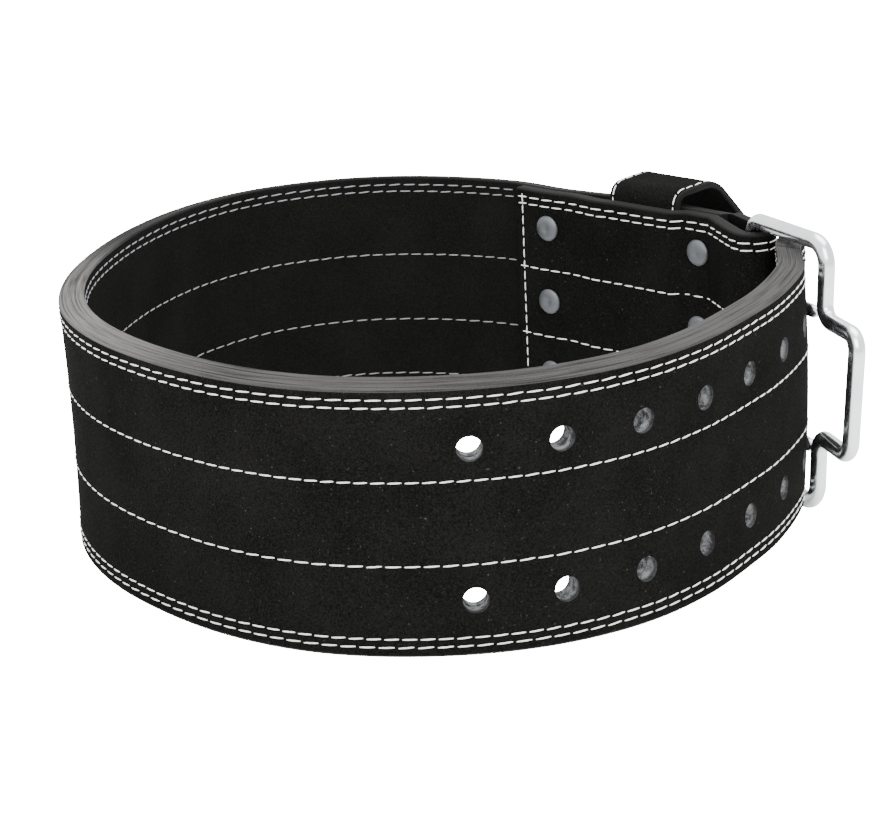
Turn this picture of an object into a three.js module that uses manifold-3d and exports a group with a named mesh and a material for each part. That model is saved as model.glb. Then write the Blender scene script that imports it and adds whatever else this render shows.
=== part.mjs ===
// A two-ply suede weightlifting belt with a double-prong buckle, closed and standing on its lower edge.
// Millimetres, +Z up. The belt is drawn level, with its lower edge at z = 0, and then leaned so that
// it rests on the buckle's lower leg and on the edge opposite.
import * as THREE from 'three';
import { mergeVertices } from 'three/addons/utils/BufferGeometryUtils.js';
import Module from 'manifold-3d';

// Leather
const beltWidth = 101.6;
const plyThickness = 5.05;
const plyGap = 0.3;
const outerEdgeDrop = 1.9;
const edgeFlare = 2.4;

// The closed loop
const loopHalfLength = 144.5;
const loopHalfDepth = 156;
const patchPastRivets = 18;
const innerPlyPastRivets = 8;
const tipRounding = 38;

// Punched holes
const holeDiameter = 9.5;
const holePitch = 31.75;
const holeColumns = 8;
const holeRowSpacing = 56.4;
const tipToFirstHole = 46.5;
const holeDrop = 2.2;

// Rivets
const rivetColumnSpacing = 83;
const rivetRowInset = 16.9;
const rivetHeadDiameter = 11.6;
const rivetHeadHeight = 1.9;
const rivetShankDiameter = 4.8;
const rivetClearance = 0.35;

// Keeper loop
const keeperWidth = 38;
const keeperThickness = 2.8;
const keeperDepth = 29;
const keeperRise = 6;
const keeperShare = 0.39;
const keeperSkew = 5;
const keeperInnerRise = 5.2;
const keeperTopRound = 5.5;
const keeperInnerRound = 1.8;

// Buckle
const barDiameter = 6.9;
const frameClearance = 0.3;
const frameLength = 51.5;
const frameTurn = 24;
const frameLean = 2.4;
const frameCorner = 9;
const heelCorner = 5.4;
const foldRun = 38;
const foldTurn = 25;
const gripDepth = 29;
const gripHeight = 49;
const gripTurn = -8;
const gripCorner = 6.5;
const prongDiameter = 5.4;
const prongTipIn = 0.6;
const metalGap = 0.35;
const foldSlack = 0.9;
const keeperSlack = 1.5;

// Facets
const ringStep = 9;
const bendStep = 4;
const patchStep = 6;
const holeSides = 12;
const shankHoleSides = 8;
const rivetSides = 10;
const barSides = 10;
const prongSides = 8;
const barBendTurn = 30;
const keeperBendTurn = 18;
const wallLevels = [0, 0.3, 0.7, 1];
const tipShares = [0, 0.2, 0.4, 0.58, 0.73, 0.85, 0.93, 0.98];
const foldTurns = [0, 30, 60, 90, 120, 150, 180];
const hookTurns = [200, 170, 140, 110, 80, 50, 20];

// Worked out from the sizes above
const halfWidth = beltWidth / 2;
const bodyHalf = plyThickness + plyGap / 2;
const plyCentre = (plyThickness + plyGap) / 2;
const barRadius = barDiameter / 2;
const prongRadius = prongDiameter / 2;
const foldRadius = barRadius + foldSlack + plyThickness / 2;
const tonguePastHeel = foldRadius + plyThickness / 2 + foldSlack + bodyHalf;
const foldTop = beltWidth - outerEdgeDrop / 4;
const radians = THREE.MathUtils.degToRad;

const wasm = await Module();
wasm.setup();

const suede = new THREE.MeshStandardMaterial({ color: 0x1b1a1a, roughness: 0.95, metalness: 0 });
const lining = new THREE.MeshStandardMaterial({ color: 0x242222, roughness: 0.95, metalness: 0 });
const zinc = new THREE.MeshStandardMaterial({ color: 0xb9bec2, roughness: 0.4, metalness: 1 });
const chrome = new THREE.MeshStandardMaterial({ color: 0xd4dadd, roughness: 0.2, metalness: 1 });

// Stations of the loop's middle line, seen from above, from the buckle end round the back, the left
// and the front. x and y are shares of the loop's half length and half depth, and flare is the share
// of the edge flare that the wall has there.
const loopStations = [
  { x: 0.872, y: 0.365, flare: 0.0 },
  { x: 0.83, y: 0.404, flare: 0.0 },
  { x: 0.63, y: 0.596, flare: 0.0 },
  { x: 0.401, y: 0.754, flare: 0.0 },
  { x: 0.26, y: 0.878, flare: 0.0 },
  { x: 0.061, y: 0.962, flare: 0.6 },
  { x: -0.136, y: 1.0, flare: 1.0 },
  { x: -0.318, y: 0.992, flare: 1.0 },
  { x: -0.554, y: 0.913, flare: 0.8 },
  { x: -0.74, y: 0.756, flare: 0.6 },
  { x: -0.879, y: 0.532, flare: 0.4 },
  { x: -0.969, y: 0.256, flare: 0.35 },
  { x: -1.0, y: 0.0, flare: 0.35 },
  { x: -0.965, y: -0.256, flare: 0.5 },
  { x: -0.837, y: -0.515, flare: 0.8 },
  { x: -0.588, y: -0.785, flare: 1.0 },
  { x: -0.371, y: -0.922, flare: 1.0 },
  { x: -0.172, y: -0.981, flare: 1.0 },
  { x: 0.065, y: -0.993, flare: 1.0 },
  { x: 0.273, y: -0.954, flare: 1.0 },
  { x: 0.465, y: -0.864, flare: 1.0 },
  { x: 0.622, y: -0.735, flare: 0.8 },
  { x: 0.761, y: -0.568, flare: 0.4 },
  { x: 0.868, y: -0.413, flare: 0.0 },
];

// The tongue's last stations lie beside the buckle: ahead is the distance along the buckle frame from
// its heel bar, as a share of the frame's length, and out is the distance across it as a share of the
// way that the fold needs.
const tongueStations = [
  { ahead: 1.08, out: -1.03, flare: -0.6 },
  { ahead: 0.82, out: -0.45, flare: -0.8 },
  { ahead: 0.53, out: 0.08, flare: -0.7 },
  { ahead: 0.337, out: 0.53, flare: -0.4 },
  { ahead: 0.15, out: 0.88, flare: 0.0 },
  { ahead: -0.047, out: 1.09, flare: 0.0 },
  { ahead: -0.234, out: 1.13, flare: 0.0 },
];

// The patch stands off the inner ply where it covers the keeper. at is a share of the way between the
// two rivet columns, and off is a share of the keeper's own thickness and room.
const patchStations = [
  { at: 0.08, off: 0 },
  { at: 0.17, off: 1 },
  { at: 0.39, off: 1.15 },
  { at: 0.64, off: 1 },
  { at: 0.9, off: 0 },
];

// A rivet head's outline, as shares of its radius and of its height.
const headOutline = [
  { wide: 1, high: 0 },
  { wide: 1, high: 0.25 },
  { wide: 0.62, high: 0.8 },
  { wide: 0, high: 1 },
];

// The keeper's corners in a plane across the strap, from its inner run over the top and down the
// outside. out is a share of the keeper's depth from the strap's outer face, up a share of the way
// from under the strap to its top, rise a share of the keeper's rise, round the corner's radius as a
// share of the keeper's depth, and skew the share of the keeper's skew.
const keeperCorners = [
  { out: 0.36, up: 1, rise: 1.15, round: 0.42, skew: 0.4 },
  { out: 1.0, up: 0.86, rise: 0, round: 0.5, skew: 1 },
  { out: 0.96, up: 0.34, rise: 0, round: 1.2, skew: 0.7 },
  { out: 0.34, up: 0, rise: 0, round: 0.5, skew: 0 },
];

function unit(x, y) {
  return new THREE.Vector2(x, y).normalize();
}

function sideOf(direction) {
  return new THREE.Vector2(direction.y, -direction.x);
}

function spline(points) {
  const curve = new THREE.CatmullRomCurve3(points.map((p) => new THREE.Vector3(p.x, p.y, 0)));
  curve.arcLengthDivisions = 2000;
  return curve;
}

// A closed solid through a row of rings with equal point counts. A ring is listed anticlockwise as
// seen from the row's start, so that the faces point out.
function loft(rings, closed) {
  const ringSize = rings[0].length;
  const positions = rings.flat().flatMap((p) => [p.x, p.y, p.z]);
  const triangles = [];
  const spans = closed ? rings.length : rings.length - 1;
  for (let i = 0; i < spans; i += 1) {
    const here = i * ringSize;
    const next = ((i + 1) % rings.length) * ringSize;
    for (let j = 0; j < ringSize; j += 1) {
      const k = (j + 1) % ringSize;
      triangles.push(here + j, here + k, next + k);
      triangles.push(here + j, next + k, next + j);
    }
  }
  if (!closed) {
    const last = (rings.length - 1) * ringSize;
    for (let j = 1; j < ringSize - 1; j += 1) {
      triangles.push(0, j + 1, j);
      triangles.push(last, last + j, last + j + 1);
    }
  }
  const geometry = new THREE.BufferGeometry();
  geometry.setAttribute('position', new THREE.Float32BufferAttribute(positions, 3));
  geometry.setIndex(triangles);
  return turnedOut(geometry);
}

function signedVolume(geometry) {
  const p = geometry.attributes.position;
  const index = geometry.index;
  const a = new THREE.Vector3();
  const b = new THREE.Vector3();
  const c = new THREE.Vector3();
  let sum = 0;
  for (let i = 0; i < index.count; i += 3) {
    a.fromBufferAttribute(p, index.getX(i));
    b.fromBufferAttribute(p, index.getX(i + 1));
    c.fromBufferAttribute(p, index.getX(i + 2));
    sum += a.dot(b.clone().cross(c)) / 6;
  }
  return sum;
}

function turnedOut(geometry) {
  if (signedVolume(geometry) > 0) {
    return geometry;
  }
  const index = geometry.index;
  for (let i = 0; i < index.count; i += 3) {
    const second = index.getX(i + 1);
    index.setX(i + 1, index.getX(i + 2));
    index.setX(i + 2, second);
  }
  return geometry;
}

function toSolid(geometry) {
  const bare = geometry.clone();
  bare.deleteAttribute('normal');
  bare.deleteAttribute('uv');
  const merged = mergeVertices(bare, 1e-4);
  return new wasm.Manifold(new wasm.Mesh({
    numProp: 3,
    vertProperties: new Float32Array(merged.attributes.position.array),
    triVerts: new Uint32Array(merged.index.array),
  }));
}

function toGeometry(solid) {
  const mesh = solid.getMesh();
  const geometry = new THREE.BufferGeometry();
  geometry.setAttribute('position', new THREE.Float32BufferAttribute(mesh.vertProperties, 3));
  geometry.setIndex(new THREE.Uint32BufferAttribute(mesh.triVerts, 1));
  return geometry;
}

function cutAll(geometry, tools) {
  let solid = toSolid(geometry);
  for (const tool of tools) {
    solid = solid.subtract(toSolid(tool));
  }
  return toGeometry(solid);
}

// The buckle's place: the heel bar stands at the end of the fold, and the frame runs forward from it.
const start = new THREE.Vector2(loopStations[1].x * loopHalfLength, loopStations[1].y * loopHalfDepth);
const startAhead = unit(
  (loopStations[0].x - loopStations[2].x) * loopHalfLength,
  (loopStations[0].y - loopStations[2].y) * loopHalfDepth,
).rotateAround(new THREE.Vector2(), -radians(foldTurn));
const heel = start.clone().addScaledVector(startAhead, foldRun);
const frameAhead = new THREE.Vector2(0, -1).rotateAround(new THREE.Vector2(), radians(frameTurn));
const frameOut = new THREE.Vector2(-frameAhead.y, frameAhead.x);

// The middle line of the two-ply strap, from the buckle end to the tongue's tip.
function bodyPath() {
  const stations = loopStations.map((s) => ({
    x: s.x * loopHalfLength,
    y: s.y * loopHalfDepth,
    flare: s.flare * edgeFlare,
  }));
  for (const s of tongueStations) {
    const place = heel.clone()
      .addScaledVector(frameAhead, s.ahead * frameLength)
      .addScaledVector(frameOut, s.out * tonguePastHeel);
    stations.push({ x: place.x, y: place.y, flare: s.flare * edgeFlare });
  }
  const curve = spline(stations);
  const length = curve.getLength();
  const flares = new THREE.CatmullRomCurve3(stations.map((s, i) => new THREE.Vector3(i, s.flare, 0)));
  return {
    length,
    at(distance) {
      const share = THREE.MathUtils.clamp(distance / length, 0, 1);
      const point = curve.getPointAt(share);
      const tangent = curve.getTangentAt(share);
      const ahead = unit(tangent.x, tangent.y);
      return {
        point: new THREE.Vector2(point.x, point.y),
        ahead,
        out: sideOf(ahead),
        flare: flares.getPoint(curve.getUtoTmapping(share)).y,
      };
    },
  };
}

const body = bodyPath();
const tipAt = body.length;
const secondRivetsAt = start.distanceTo(
  new THREE.Vector2(loopStations[0].x * loopHalfLength, loopStations[0].y * loopHalfDepth),
);
const firstRivetsAt = secondRivetsAt + rivetColumnSpacing;
const prongHoleAt = tipAt - tipToFirstHole;

function bodyPoint(distance, out) {
  const place = body.at(distance);
  return place.point.clone().addScaledVector(place.out, out);
}

function topAt(out) {
  return beltWidth - outerEdgeDrop * ((out + bodyHalf) / (2 * bodyHalf));
}

// One ring of a ply: four heights on each face, with the edges flared out. shrink rounds the tongue's tip.
function plyRing(place, low, high, lowTop, highTop, shrink) {
  const wall = (out, top) => wallLevels.map((share) => {
    const level = (share - 0.5) * 2;
    const z = halfWidth + (share * top - halfWidth) * shrink;
    const p = place.point.clone().addScaledVector(place.out, out + place.flare * level * level * shrink);
    return new THREE.Vector3(p.x, p.y, z);
  });
  return [...wall(high, highTop), ...wall(low, lowTop).reverse()];
}

// The tongue's end is rounded as an ellipse over the last stretch of its length.
function tipShrink(distance) {
  const into = distance - (tipAt - tipRounding);
  if (into <= 0) {
    return 1;
  }
  const share = into / tipRounding;
  return Math.sqrt(1 - share * share);
}

// Distances along the strap, closer together at the tip.
function stripStops(from) {
  const straightEnd = tipAt - tipRounding;
  const count = Math.round((straightEnd - from) / ringStep);
  const stops = Array.from({ length: count }, (unused, i) => from + ((straightEnd - from) * i) / count);
  for (const share of tipShares) {
    stops.push(straightEnd + share * tipRounding);
  }
  return stops;
}

function innerLeather() {
  const from = secondRivetsAt - innerPlyPastRivets;
  const rings = stripStops(from).map((stop) => plyRing(
    body.at(stop), -bodyHalf, -plyGap / 2, topAt(-bodyHalf), topAt(0), tipShrink(stop),
  ));
  return loft(rings, false);
}

// How far the patch stands off at a share of the way between the rivet columns.
function patchOff(share) {
  const last = patchStations.length - 1;
  if (share <= patchStations[0].at || share >= patchStations[last].at) {
    return 0;
  }
  const next = patchStations.findIndex((s) => s.at > share);
  const from = patchStations[next - 1];
  const to = patchStations[next];
  const ease = THREE.MathUtils.smoothstep(share, from.at, to.at);
  return from.off + (to.off - from.off) * ease;
}

// The outer ply's own line beyond the strap: round the heel bar and back along the inside, where it
// ends as the patch.
function foldLine() {
  const across = sideOf(startAhead).negate();
  const leave = body.at(0);
  const layer = bodyHalf + metalGap + plyThickness / 2;
  const bend = [leave.point.clone().addScaledVector(leave.out, plyCentre)];
  for (const turn of foldTurns) {
    bend.push(heel.clone()
      .addScaledVector(across, foldRadius * Math.cos(radians(turn)))
      .addScaledVector(startAhead, foldRadius * Math.sin(radians(turn))));
  }
  const lay = secondRivetsAt - rivetHeadDiameter / 2;
  bend.push(bodyPoint(lay, -layer));
  const curve = spline(bend);
  const count = Math.round(curve.getLength() / bendStep);
  const points = curve.getSpacedPoints(count).map((p) => new THREE.Vector2(p.x, p.y));
  const end = firstRivetsAt + patchPastRivets;
  const steps = Math.round((end - lay) / patchStep);
  const room = keeperThickness + keeperSlack + metalGap;
  for (let i = 1; i <= steps; i += 1) {
    const at = lay + ((end - lay) * i) / steps;
    points.push(bodyPoint(at, -layer - room * patchOff((at - secondRivetsAt) / rivetColumnSpacing)));
  }
  return points;
}

function outerLeather() {
  const rings = stripStops(0).reverse().map((stop) => plyRing(
    body.at(stop), plyGap / 2, bodyHalf, topAt(0), topAt(bodyHalf), tipShrink(stop),
  ));
  const line = foldLine();
  for (let i = 1; i < line.length; i += 1) {
    const before = line[i - 1];
    const after = line[Math.min(i + 1, line.length - 1)];
    const out = sideOf(unit(after.x - before.x, after.y - before.y)).negate();
    const place = { point: line[i], out, flare: 0 };
    rings.push(plyRing(place, -plyThickness / 2, plyThickness / 2, foldTop, foldTop, 1));
  }
  return loft(rings, false);
}

// A round bar across the strap at a distance along it, for punching and for rivets.
function crossBar(distance, height, radius, reach, sides) {
  const place = body.at(distance);
  const bar = new THREE.CylinderGeometry(radius, radius, 2 * reach, sides);
  const turn = new THREE.Quaternion().setFromUnitVectors(
    new THREE.Vector3(0, 1, 0),
    new THREE.Vector3(place.out.x, place.out.y, 0),
  );
  bar.applyQuaternion(turn);
  bar.translate(place.point.x, place.point.y, height);
  return bar;
}

const holeMiddle = halfWidth - holeDrop;
const holeHeights = [holeMiddle + holeRowSpacing / 2, holeMiddle - holeRowSpacing / 2];

function punches() {
  const tools = [];
  const reach = bodyHalf + 2 * edgeFlare;
  for (let column = 0; column < holeColumns; column += 1) {
    for (const height of holeHeights) {
      tools.push(crossBar(prongHoleAt - column * holePitch, height, holeDiameter / 2, reach, holeSides));
    }
  }
  return tools;
}

const rivetRows = [
  { name: 'upper', height: beltWidth - rivetRowInset },
  { name: 'middle', height: halfWidth },
  { name: 'lower', height: rivetRowInset },
];
const rivetColumns = [
  { name: 'near', at: secondRivetsAt },
  { name: 'far', at: firstRivetsAt },
];

function rivetHoles() {
  const reach = 2 * (bodyHalf + plyThickness);
  return rivetColumns.flatMap((column) => rivetRows.map((row) => crossBar(
    column.at, row.height, rivetShankDiameter / 2 + rivetClearance, reach, shankHoleSides,
  )));
}

// A rivet with a low domed head on each side, turned about its own length.
function rivet(column, row) {
  const innerFace = bodyHalf + metalGap + plyThickness + metalGap;
  const outerFace = bodyHalf + metalGap;
  const head = rivetHeadDiameter / 2;
  const shank = rivetShankDiameter / 2;
  const headAt = (face, side) => headOutline.map((s) => new THREE.Vector2(
    s.wide * head,
    side * (face + s.high * rivetHeadHeight),
  ));
  const profile = [
    ...headAt(innerFace, -1).reverse(),
    new THREE.Vector2(shank, -innerFace),
    new THREE.Vector2(shank, outerFace),
    ...headAt(outerFace, 1),
  ];
  const geometry = new THREE.LatheGeometry(profile, rivetSides);
  const place = body.at(column.at);
  geometry.applyQuaternion(new THREE.Quaternion().setFromUnitVectors(
    new THREE.Vector3(0, 1, 0),
    new THREE.Vector3(place.out.x, place.out.y, 0),
  ));
  geometry.translate(place.point.x, place.point.y, row.height);
  return geometry;
}

// The keeper is a flat strap bent into a closed loop round the belt, in a plane across it.
function keeperLoop() {
  const place = body.at(secondRivetsAt + keeperShare * rivetColumnSpacing);
  const inside = -bodyHalf - keeperSlack - keeperThickness / 2;
  const under = -metalGap - keeperThickness / 2;
  const corners = [
    { place: new THREE.Vector3(inside, under, 0), radius: keeperInnerRound },
    { place: new THREE.Vector3(inside, beltWidth + keeperInnerRise, 0), radius: keeperTopRound },
  ];
  for (const s of keeperCorners) {
    const height = THREE.MathUtils.lerp(under, beltWidth, s.up) + s.rise * keeperRise;
    corners.push({
      place: new THREE.Vector3(bodyHalf + s.out * keeperDepth, height, s.skew * keeperSkew),
      radius: s.round * keeperDepth,
    });
  }
  const line = roundedLine(corners, true, radians(keeperBendTurn));
  const rings = line.map((p, i) => {
    const before = line[(i + line.length - 1) % line.length];
    const after = line[(i + 1) % line.length];
    const ahead = unit(after.x - before.x, after.y - before.y);
    const corner = (side, along) => {
      const out = p.x + side * ahead.y * (keeperThickness / 2);
      const z = p.y - side * ahead.x * (keeperThickness / 2);
      const q = place.point.clone()
        .addScaledVector(place.out, out)
        .addScaledVector(place.ahead, along * (keeperWidth / 2) - p.z);
      return new THREE.Vector3(q.x, q.y, z);
    };
    return [corner(1, -1), corner(1, 1), corner(-1, 1), corner(-1, -1)];
  });
  return loft(rings, true);
}

// A round bar swept through points. side is a direction that the sweep never runs along.
function sweepBar(points, radius, sides, closed, side) {
  const rings = points.map((p, i) => {
    const before = closed ? points[(i + points.length - 1) % points.length] : points[Math.max(i - 1, 0)];
    const after = closed ? points[(i + 1) % points.length] : points[Math.min(i + 1, points.length - 1)];
    const ahead = after.clone().sub(before).normalize();
    const across = side.clone().addScaledVector(ahead, -side.dot(ahead)).normalize();
    const up = ahead.clone().cross(across);
    return Array.from({ length: sides }, (unused, j) => {
      const turn = (2 * Math.PI * j) / sides;
      return p.clone()
        .addScaledVector(across, radius * Math.cos(turn))
        .addScaledVector(up, radius * Math.sin(turn));
    });
  });
  return loft(rings, closed);
}

// Points of a line through corners that are rounded by circular arcs.
function roundedLine(corners, closed, step) {
  const points = [];
  corners.forEach((corner, i) => {
    const before = corners[(i + corners.length - 1) % corners.length].place;
    const after = corners[(i + 1) % corners.length].place;
    const isEnd = !closed && (i === 0 || i === corners.length - 1);
    if (isEnd || corner.radius === 0) {
      points.push(corner.place);
      return;
    }
    const back = before.clone().sub(corner.place).normalize();
    const ahead = after.clone().sub(corner.place).normalize();
    const half = Math.acos(THREE.MathUtils.clamp(back.dot(ahead), -1, 1)) / 2;
    const reach = corner.radius / Math.tan(half);
    const from = corner.place.clone().addScaledVector(back, reach);
    const to = corner.place.clone().addScaledVector(ahead, reach);
    const centre = corner.place.clone()
      .addScaledVector(back.clone().add(ahead).normalize(), corner.radius / Math.sin(half));
    const sweep = Math.PI - 2 * half;
    const axis = back.clone().cross(ahead).normalize().negate();
    const arm = from.clone().sub(centre);
    const steps = Math.max(2, Math.round(sweep / step));
    for (let k = 0; k < steps; k += 1) {
      points.push(centre.clone().add(arm.clone().applyAxisAngle(axis, (sweep * k) / steps)));
    }
    points.push(to);
  });
  return points;
}

// A point of the buckle frame: ahead of the heel bar, and a height. The frame leans out at the top,
// more so towards its front.
function framePoint(ahead, height, out) {
  const share = ahead / frameLength;
  const lean = (height - halfWidth) * Math.tan(radians(frameLean)) * share;
  const p = heel.clone().addScaledVector(frameAhead, ahead).addScaledVector(frameOut, lean + out);
  return new THREE.Vector3(p.x, p.y, height);
}

const legHeight = halfWidth + frameClearance + barRadius;
const gripRun = gripDepth * Math.cos(radians(gripTurn));
const gripOut = gripDepth * Math.sin(radians(gripTurn));

function buckleFrame() {
  const low = halfWidth - legHeight;
  const high = halfWidth + legHeight;
  const gripLow = halfWidth - gripHeight / 2;
  const gripHigh = halfWidth + gripHeight / 2;
  const corners = [
    { place: framePoint(0, low, 0), radius: heelCorner },
    { place: framePoint(frameLength, low, 0), radius: frameCorner },
    { place: framePoint(frameLength, gripLow, 0), radius: gripCorner },
    { place: framePoint(frameLength + gripRun, gripLow, gripOut), radius: gripCorner },
    { place: framePoint(frameLength + gripRun, gripHigh, gripOut), radius: gripCorner },
    { place: framePoint(frameLength, gripHigh, 0), radius: gripCorner },
    { place: framePoint(frameLength, high, 0), radius: frameCorner },
    { place: framePoint(0, high, 0), radius: heelCorner },
  ];
  const out = new THREE.Vector3(frameOut.x, frameOut.y, 0);
  return sweepBar(roundedLine(corners, true, radians(barBendTurn)), barRadius, barSides, true, out);
}

// A prong's line: a hook round the heel bar, then the straight run through the tongue's hole to the
// front bar, which it meets on its near side.
function prongLine(height) {
  const hole = body.at(prongHoleAt).point;
  const hook = barRadius + metalGap + prongRadius;
  const tip = framePoint(frameLength - barRadius - metalGap, height, -prongTipIn);
  const aim = unit(tip.x - heel.x, tip.y - heel.y);
  const side = new THREE.Vector2(-aim.y, aim.x);
  const points = [];
  for (const turn of hookTurns) {
    const p = heel.clone()
      .addScaledVector(aim, hook * Math.cos(radians(turn)))
      .addScaledVector(side, -hook * Math.sin(radians(turn)));
    points.push(new THREE.Vector3(p.x, p.y, height));
  }
  points.push(new THREE.Vector3(hole.x, hole.y, height));
  points.push(tip);
  return points;
}

function prong(height, extra) {
  return sweepBar(prongLine(height), prongRadius + extra, prongSides, false, new THREE.Vector3(0, 0, 1));
}

function named(name, geometry, material) {
  const mesh = new THREE.Mesh(geometry, material);
  mesh.name = name;
  return mesh;
}

// The belt leans until the buckle's lower leg and the far edge both touch the surface.
const legDrop = legHeight + barRadius - halfWidth;
const farStation = loopStations.reduce((a, b) => (b.x < a.x ? b : a));
const farEdge = loopHalfLength + bodyHalf + edgeFlare * farStation.flare;
const restLean = Math.atan(legDrop / (farEdge + heel.x));

const belt = new THREE.Group();
const prongRoom = holeHeights.map((height) => prong(height, metalGap));
belt.add(named('outer_leather', cutAll(outerLeather(), [...punches(), ...rivetHoles(), ...prongRoom]), suede));
belt.add(named('inner_leather', cutAll(innerLeather(), [...punches(), ...rivetHoles(), ...prongRoom]), lining));
belt.add(named('keeper_loop', keeperLoop(), suede));
belt.add(named('buckle_frame', buckleFrame(), chrome));
belt.add(named('prong_upper', prong(holeHeights[0], 0), chrome));
belt.add(named('prong_lower', prong(holeHeights[1], 0), chrome));
for (const column of rivetColumns) {
  for (const row of rivetRows) {
    belt.add(named(`rivet_${column.name}_${row.name}`, rivet(column, row), zinc));
  }
}
belt.rotation.y = -restLean;

const part = new THREE.Group();
part.add(belt);
part.updateMatrixWorld(true);
const box = new THREE.Box3().setFromObject(part, true);
const middle = box.getCenter(new THREE.Vector3());
belt.position.set(-middle.x, -middle.y, -box.min.z);

export default part;
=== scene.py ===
"""A black suede weightlifting belt with a double-prong buckle, dressed for a studio picture.

The shapes are drawn in millimetres with the belt standing level, and then leaned and moved to
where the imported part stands.
"""

import logging
import math
from dataclasses import dataclass
from enum import Enum, IntEnum

import bmesh
import bpy
import numpy as np
from mathutils import Matrix, Vector


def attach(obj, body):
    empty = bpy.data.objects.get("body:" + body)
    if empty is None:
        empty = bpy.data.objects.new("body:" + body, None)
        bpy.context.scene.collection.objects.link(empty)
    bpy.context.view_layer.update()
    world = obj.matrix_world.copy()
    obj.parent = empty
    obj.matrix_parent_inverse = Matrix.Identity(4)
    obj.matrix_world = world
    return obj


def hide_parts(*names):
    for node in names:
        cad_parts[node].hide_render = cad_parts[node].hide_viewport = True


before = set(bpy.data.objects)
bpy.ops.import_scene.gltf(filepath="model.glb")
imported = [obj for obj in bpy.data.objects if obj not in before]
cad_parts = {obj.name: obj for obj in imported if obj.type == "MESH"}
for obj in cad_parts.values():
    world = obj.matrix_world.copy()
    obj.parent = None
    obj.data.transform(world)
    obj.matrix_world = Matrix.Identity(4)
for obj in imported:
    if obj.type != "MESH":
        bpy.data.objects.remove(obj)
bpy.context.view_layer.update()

log = logging.getLogger("belt")
Array = np.ndarray
Piece = bpy.types.Object
Material = bpy.types.Material
Socket = bpy.types.NodeSocket
Colour = tuple[float, float, float]

MM = 0.001
UP = np.array([0.0, 0.0, 1.0])
STRAP_MAP = "strap"
SHARP_ANGLE = math.radians(40)


class Side(Enum):
    """The two faces of the strap, by the way that each looks out of its middle."""

    OUTER = 1.0
    INNER = -1.0


class Wall(IntEnum):
    """The two kinds of surface round a ply, by their material slot."""

    FACE = 0
    EDGE = 1


@dataclass(frozen=True)
class Placement:
    """How the level drawing stands in the part's frame.

    Attributes:
        lean_degrees: Turn about the Y axis.
        shift: Move after the turn, in millimetres.
    """

    lean_degrees: float = -1.4577
    shift: tuple[float, float, float] = (-5.480, -0.625, 3.829)

    def matrix(self) -> Array:
        """The turn as a 3 by 3 matrix."""
        return np.array(Matrix.Rotation(math.radians(self.lean_degrees), 3, "Y"))

    def points(self, drawn: Array) -> Array:
        """Moves drawn points into the part's frame.

        Args:
            drawn: Points in millimetres, one a row.

        Returns:
            The same points in metres, where the part stands.
        """
        return (np.asarray(drawn, float) @ self.matrix().T + np.array(self.shift)) * MM

    def directions(self, drawn: Array) -> Array:
        """Turns drawn directions into the part's frame."""
        return np.asarray(drawn, float) @ self.matrix().T


PLACE = Placement()


def unit(v: Array) -> Array:
    """Scales each row to length one."""
    v = np.asarray(v, float)
    return v / np.linalg.norm(v, axis=-1, keepdims=True)


def side_of(ahead: Array) -> Array:
    """The direction to the right of a flat direction."""
    ahead = np.asarray(ahead, float)
    return np.stack([ahead[..., 1], -ahead[..., 0]], axis=-1)


def turned(v: Array, degrees: float) -> Array:
    """A flat direction turned anticlockwise."""
    c = math.cos(math.radians(degrees))
    s = math.sin(math.radians(degrees))
    return np.array([v[0] * c - v[1] * s, v[0] * s + v[1] * c])


def smooth_line(stations: Array, per_span: int) -> Array:
    """Samples a smooth line through stations, with gentle turns where they are close.

    Args:
        stations: The stations, one a row.
        per_span: How many samples lie between two stations.

    Returns:
        The samples, one a row.
    """
    p = np.asarray(stations, float)
    p = np.vstack([2 * p[0] - p[1], p, 2 * p[-1] - p[-2]])
    t = np.linspace(0.0, 1.0, per_span, endpoint=False)[:, None]
    rows = []
    for a, b, c, d in zip(p[:-3], p[1:-2], p[2:-1], p[3:]):
        ab, bc, cd = (math.sqrt(np.linalg.norm(v - u)) for u, v in ((a, b), (b, c), (c, d)))
        leave = bc * ((b - a) / ab - (c - a) / (ab + bc) + (c - b) / bc)
        arrive = bc * ((c - b) / bc - (d - b) / (bc + cd) + (d - c) / cd)
        rows.append(
            b + leave * t
            + (3 * (c - b) - 2 * leave - arrive) * t**2
            + (2 * (b - c) + leave + arrive) * t**3
        )
    rows.append(p[-2][None, :])
    return np.vstack(rows)


def evenly(line: Array, step: float) -> Array:
    """Samples a line again at equal steps.

    Args:
        line: The line's points, one a row.
        step: The wanted step.

    Returns:
        The new points, one a row, with both ends kept.
    """
    arc = np.concatenate([[0.0], np.cumsum(np.linalg.norm(np.diff(line, axis=0), axis=1))])
    stops = np.linspace(0.0, arc[-1], max(2, round(arc[-1] / step) + 1))
    return np.stack([np.interp(stops, arc, line[:, k]) for k in range(line.shape[1])], axis=1)


def rounded_corners(corners: list[tuple[Array, float]], step_degrees: float) -> Array:
    """A closed line through corners that are rounded by arcs.

    Args:
        corners: Each corner's place and radius.
        step_degrees: The turn between two points of an arc.

    Returns:
        The line's points, one a row.
    """
    points: list[Array] = []
    for i, (place, radius) in enumerate(corners):
        back = unit(corners[i - 1][0] - place)
        ahead = unit(corners[(i + 1) % len(corners)][0] - place)
        half = math.acos(float(np.clip(back @ ahead, -1.0, 1.0))) / 2
        start = place + back * radius / math.tan(half)
        centre = place + unit(back + ahead) * radius / math.sin(half)
        arm = start - centre
        axis = -unit(np.cross(back, ahead))
        bend = math.pi - 2 * half
        steps = max(2, round(bend / math.radians(step_degrees)))
        for k in range(steps + 1):
            turn = Matrix.Rotation(bend * k / steps, 3, Vector(axis))
            points.append(centre + np.array(turn) @ arm)
    return np.array(points)


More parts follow.
